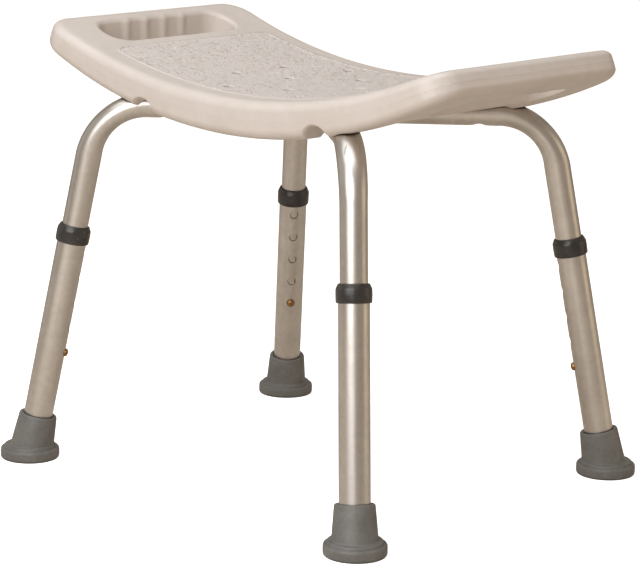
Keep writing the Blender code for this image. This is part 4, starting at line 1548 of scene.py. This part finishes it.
# ---------------------------------------------------------------- legs
@dataclass
class TelescopicLeg:
    """A lower leg: its holed tube, guide collar, rubber foot and the washer inside it."""

    leg: LegFrame
    radius: float = 0.0143
    wall: float = 0.00125
    tube_z: tuple[float, float] = (0.0106, 0.2383)
    sides: int = 64
    hole_count: int = 5
    hole_pitch: float = 0.0254
    hole_radius: float = 0.0044
    first_hole: float = 0.112
    collar_z: tuple[float, float] = (0.2228, 0.2403)
    collar_radius: float = 0.0166
    upper_radius: float = 0.0127
    sleeve_radii: tuple[float, float] = (0.0215, 0.0187)
    sleeve_top: float = 0.0450
    tip_floor: float = 0.0085
    flange_radius: float = 0.0290
    flange_height: float = 0.0135
    tube_rim: float = 0.0002
    hole_drill: tuple[float, float] = (0.006, 0.020)
    collar_shoulder: Offsets = ((0.0001, 0.0060), (0.0003, 0.0042), (0.0007, 0.0034), (0.0017, 0.0012),
                                (0.0021, 0.0004), (0.0027, 0.0))
    sleeve_mouth: Offsets = ((0.0013, 0.0), (0.0005, 0.0005), (0.0, 0.0016))
    flange_top: Offsets = ((0.0044, 0.0001), (0.0040, 0.0004), (0.0037, 0.0010), (0.0036, 0.0021),
                           (0.0033, 0.0028), (0.0028, 0.0030), (0.0020, 0.0028), (0.0012, 0.0030),
                           (0.0005, 0.0036), (0.0001, 0.0046), (0.0, 0.0060))
    flange_bottom: Offsets = ((0.0, 0.0032), (0.0001, 0.0020), (0.0005, 0.0008), (0.0012, 0.0))
    tread_edges: tuple[float, float] = (0.0225, 0.0155)
    tread_groove: Offsets = ((0.0, 0.0), (0.0004, 0.0011), (0.0034, 0.0011), (0.0038, 0.0))
    neck_level: float = 0.010
    neck_fillet: float = 0.0016

    @property
    def corner(self) -> str:
        """The leg's name."""
        return self.leg.corner.value

    @property
    def body(self) -> str:
        """The CAD body of the lower leg."""
        return f"leg_{self.corner}"

    def tube(self) -> bpy.types.Object:
        """Make the tube with its row of adjustment holes.

        Returns:
            Its piece.
        """
        low, high = self.tube_z
        inner, rim = self.radius - self.wall, self.tube_rim
        bands = [self.first_hole + (i - 0.5) * self.hole_pitch for i in range(self.hole_count + 1)]
        outside = [(self.radius, z) for z in [low + rim] + bands + [high - rim]]
        inside = [(inner, z) for z in [high - rim] + bands[::-1] + [low + rim]]
        profile = [(inner + rim, low), (self.radius - rim, low)] + outside
        profile += [(self.radius - rim, high), (inner + rim, high)] + inside + [(inner + rim, low)]
        drills = [moved(cylinder(self.hole_radius, *self.hole_drill, 40),
                        Matrix.Translation((0, 0, self.first_hole + i * self.hole_pitch))
                        @ Matrix.Rotation(QUARTER, 4, "Y")) for i in range(self.hole_count)]
        shell = lathe(profile, self.sides)
        bare = cylinder(self.radius, low + rim, high - rim, self.sides)
        bmesh.ops.delete(bare, geom=[f for f in bare.faces if abs(f.normal.z) > 0.5], context="FACES_ONLY")
        bare.normal_update()
        reference = SmoothSkin(moved(bare, self.leg.matrix))
        body = moved(carve(shell, [(gathered(drills), Cut.AWAY)]), self.leg.matrix)
        piece = add_piece(f"lower_leg_{self.corner}", body, TUBE_FINISH, self.body,
                          [f"leg_tube_{self.corner}"], reference)
        into_leg = self.leg.matrix.inverted()
        stamp_tube_place(piece, lambda point: into_leg @ point + self.leg.foot)
        return piece

    def collar(self) -> bpy.types.Object:
        """Make the barrel-shaped guide collar.

        Returns:
            Its piece.
        """
        low, high = self.collar_z
        bore, guide = self.radius + FIT_GAP, self.upper_radius + 0.0004
        out, ledge = self.collar_radius, self.tube_z[1] + FIT_GAP
        profile = [(bore, low + 0.0004), (bore + 0.0004, low), (out - 0.0014, low)]
        profile += arc((out - 0.0014, low + 0.0012), 0.0012, -QUARTER, -0.1, 6)
        profile += [(out - 0.0001, low + 0.0045), (out, low + 0.0075)]
        profile += [(out - inward, high - below) for inward, below in self.collar_shoulder]
        profile += [(guide + 0.0004, high), (guide, high - 0.0004), (guide, ledge), (bore, ledge),
                    (bore, low + 0.0004)]
        collar = moved(lathe(profile, self.sides), self.leg.matrix)
        return add_piece(f"guide_collar_{self.corner}", collar, COLLAR_FINISH, self.body,
                         [f"leg_collar_{self.corner}"])

    def foot_profiles(self) -> tuple[Outline, Outline]:
        """Draw the rubber foot's two half sections.

        Returns:
            The sleeve from its bore over its mouth, about the leg, and the flange from its
            ledge to the tread, about the plumb line.
        """
        bore, top, mouth_top = self.radius + FIT_GAP, self.sleeve_radii[1], self.sleeve_top
        out, height = self.flange_radius, self.flange_height
        mouth = [(bore, self.tip_floor), (bore, mouth_top - 0.0012), (bore + 0.0004, mouth_top - 0.0004),
                 (bore + 0.0012, mouth_top)]
        mouth += [(top - inward, mouth_top - below) for inward, below in self.sleeve_mouth]
        flange = [(out - inward, height - below) for inward, below in self.flange_top]
        flange += [(out - inward, rise) for inward, rise in self.flange_bottom]
        flange += [(edge - inward, rise) for edge in self.tread_edges for inward, rise in self.tread_groove]
        return mouth, flange

    def foot_columns(self) -> list[list[Vector]]:
        """Draw the rubber foot's section at each step round it.

        Returns:
            The sections, each from the bore to the tread.
        """
        mouth, flange = self.foot_profiles()
        columns = []
        side = self.leg.matrix.col[1].to_3d()
        for i in range(self.sides):
            angle = 4 * QUARTER * i / self.sides
            ray = Vector((math.cos(angle), math.sin(angle), 0.0))
            flat_ray = -self.leg.outward * ray.x + side * ray.y
            column = [self.leg.matrix @ (ray * radius + Vector((0, 0, z))) for radius, z in mouth]
            low = self.leg.matrix @ (ray * self.sleeve_radii[0] + Vector((0, 0, self.neck_level)))
            slope = low - column[-1]
            neck = column[-1] + slope * ((self.flange_height - column[-1].z) / slope.z)
            edge = self.leg.foot + flat_ray * flange[0][0] + Vector((0, 0, flange[0][1]))
            start, end = neck - slope.normalized() * self.neck_fillet, neck.lerp(edge, 0.55)
            column.append(column[-1].lerp(start, 0.5))
            for step in range(6):
                share = step / 5
                column.append(start.lerp(neck, share).lerp(neck.lerp(end, share), share))
            column += [self.leg.foot + flat_ray * radius + Vector((0, 0, z)) for radius, z in flange]
            columns.append(column)
        return columns

    def rubber_foot(self) -> bpy.types.Object:
        """Make the rubber foot as one skin from its bore down to its tread."""
        foot = skin([list(ring) for ring in zip(*self.foot_columns())])
        return add_piece(f"rubber_foot_{self.corner}", foot, RUBBER_FINISH, self.body,
                         [f"rubber_tip_{self.corner}"])

    def build(self) -> None:
        """Make the leg's pieces and dress the washer inside its foot."""
        self.tube()
        self.collar()
        self.rubber_foot()
        dress_node(f"tip_washer_{self.corner}", STEEL_FINISH)


@dataclass
class SnapButton:
    """A leg's domed snap button; its spring stays as the CAD has it."""

    leg: LegFrame
    height: float = 0.112
    radius: float = 0.0040
    base: float = 0.0106
    shoulder: float = 0.0151
    dome: float = 0.0022

    def build(self) -> None:
        """Make the button and dress its spring."""
        profile = [(0, self.base), (self.radius - 0.0002, self.base), (self.radius, self.base + 0.0002)]
        profile += [(self.radius * math.cos(a), self.shoulder + self.dome * math.sin(a))
                    for a in turns(0.0, QUARTER, 8)[:-1]]
        profile.append((0, self.shoulder + self.dome))
        corner = self.leg.corner.value
        button = moved(lathe(profile, 36), self.leg.across(self.height))
        add_piece(f"brass_button_{corner}", button, BRASS_FINISH, f"button_{corner}",
                  [f"snap_button_{corner}"])
        dress_node(f"snap_spring_{corner}", SPRING_FINISH)


# ---------------------------------------------------------------- studio
@dataclass(frozen=True)
class Softbox:
    """A rectangular light on a sphere round the stool, aimed at it."""

    name: str
    azimuth: float
    elevation: float
    distance: float
    size: tuple[float, float]
    power: float
    colour: Colour

    def build(self, target: Vector) -> None:
        """Add the light.

        Args:
            target: What it is aimed at.
        """
        data = bpy.data.lights.new(self.name, "AREA")
        data.shape = "RECTANGLE"
        data.size, data.size_y = self.size
        data.energy = self.power
        data.color = self.colour
        light = bpy.data.objects.new(self.name, data)
        bpy.context.scene.collection.objects.link(light)
        back = direction(self.azimuth, self.elevation)
        light.location = target + back * self.distance
        light.rotation_mode = "QUATERNION"
        light.rotation_quaternion = (-back).to_track_quat("-Z", "Y")


def direction(azimuth: float, elevation: float) -> Vector:
    """Return the unit vector towards a viewer at these degrees; azimuth 0 is the front."""
    a, e = math.radians(azimuth), math.radians(elevation)
    return Vector((math.sin(a) * math.cos(e), -math.cos(a) * math.cos(e), math.sin(e)))


SOFTBOXES = (
    Softbox("key_softbox", 17.0, 28.0, 2.4, (1.9, 1.7), 36.0, (0.98, 0.985, 1.0)),
    Softbox("top_softbox", -20.0, 78.0, 2.4, (2.4, 2.4), 33.0, (0.92, 0.97, 1.0)),
    Softbox("left_fill", -62.0, 10.0, 2.6, (1.6, 2.0), 2.5, (0.82, 0.93, 1.0)),
    Softbox("right_bounce", 128.0, 8.0, 2.3, (1.2, 1.6), 4.0, (1.0, 0.80, 0.58)),
)


@dataclass
class Studio:
    """The pale floor, the soft lights and the camera."""

    target: Vector = field(default_factory=lambda: Vector((0.0, 0.0, 0.182)))
    distance: float = 2.58
    azimuth: float = 42.4
    elevation: float = 12.3
    roll: float = 1.1
    lens: float = 148.5
    sensor: float = 36.0
    clip: tuple[float, float] = (0.05, 60.0)
    floor_size: float = 40.0
    surroundings: Colour = (0.325, 0.283, 0.232)

    def camera(self) -> None:
        """Add the camera."""
        data = bpy.data.cameras.new("studio_camera")
        data.lens, data.sensor_width = self.lens, self.sensor
        data.clip_start, data.clip_end = self.clip
        camera = bpy.data.objects.new("studio_camera", data)
        back = direction(self.azimuth, self.elevation)
        turn = (-back).to_track_quat("-Z", "Y").to_matrix().to_4x4()
        camera.matrix_world = (Matrix.Translation(self.target + back * self.distance) @ turn
                               @ Matrix.Rotation(math.radians(self.roll), 4, "Z"))
        bpy.context.scene.collection.objects.link(camera)
        bpy.context.scene.camera = camera

    def floor(self) -> None:
        """Add the floor, which isn't part of the stool."""
        bm = bmesh.new()
        bmesh.ops.create_grid(bm, x_segments=8, y_segments=8, size=self.floor_size / 2)
        floor = hidden_object("studio_floor", bm)
        floor.data.materials.append(FLOOR_FINISH.material())

    def lights(self) -> None:
        """Add the soft lights and the pale surroundings."""
        for softbox in SOFTBOXES:
            softbox.build(self.target)
        world = bpy.data.worlds.new("studio_surroundings")
        world.use_nodes = True
        graph = Graph(world.node_tree)
        background = world.node_tree.nodes["Background"]
        seen = graph.add("ShaderNodeLightPath").outputs["Is Camera Ray"]
        graph.feed(background.inputs["Color"], graph.mix(seen, self.surroundings, (1.0, 1.0, 1.0)))
        bpy.context.scene.world = world

    def build(self) -> None:
        """Set the studio up."""
        self.camera()
        self.floor()
        self.lights()
        bpy.context.scene.view_settings.view_transform = "Standard"


def main() -> None:
    """Build the stool and the studio."""
    logging.basicConfig(level=logging.INFO, format="%(name)s: %(message)s")
    Studio().build()
    bars = [Crossbar(crossing) for crossing in Crossing]
    for bar in bars:
        bar.build()
    Seat().build(bars)
    CentreRivet().build()
    for leg in LEGS.values():
        SeatFastener(leg).build()
        TelescopicLeg(leg).build()
        SnapButton(leg).build()


if __name__ == "__main__":
    main()
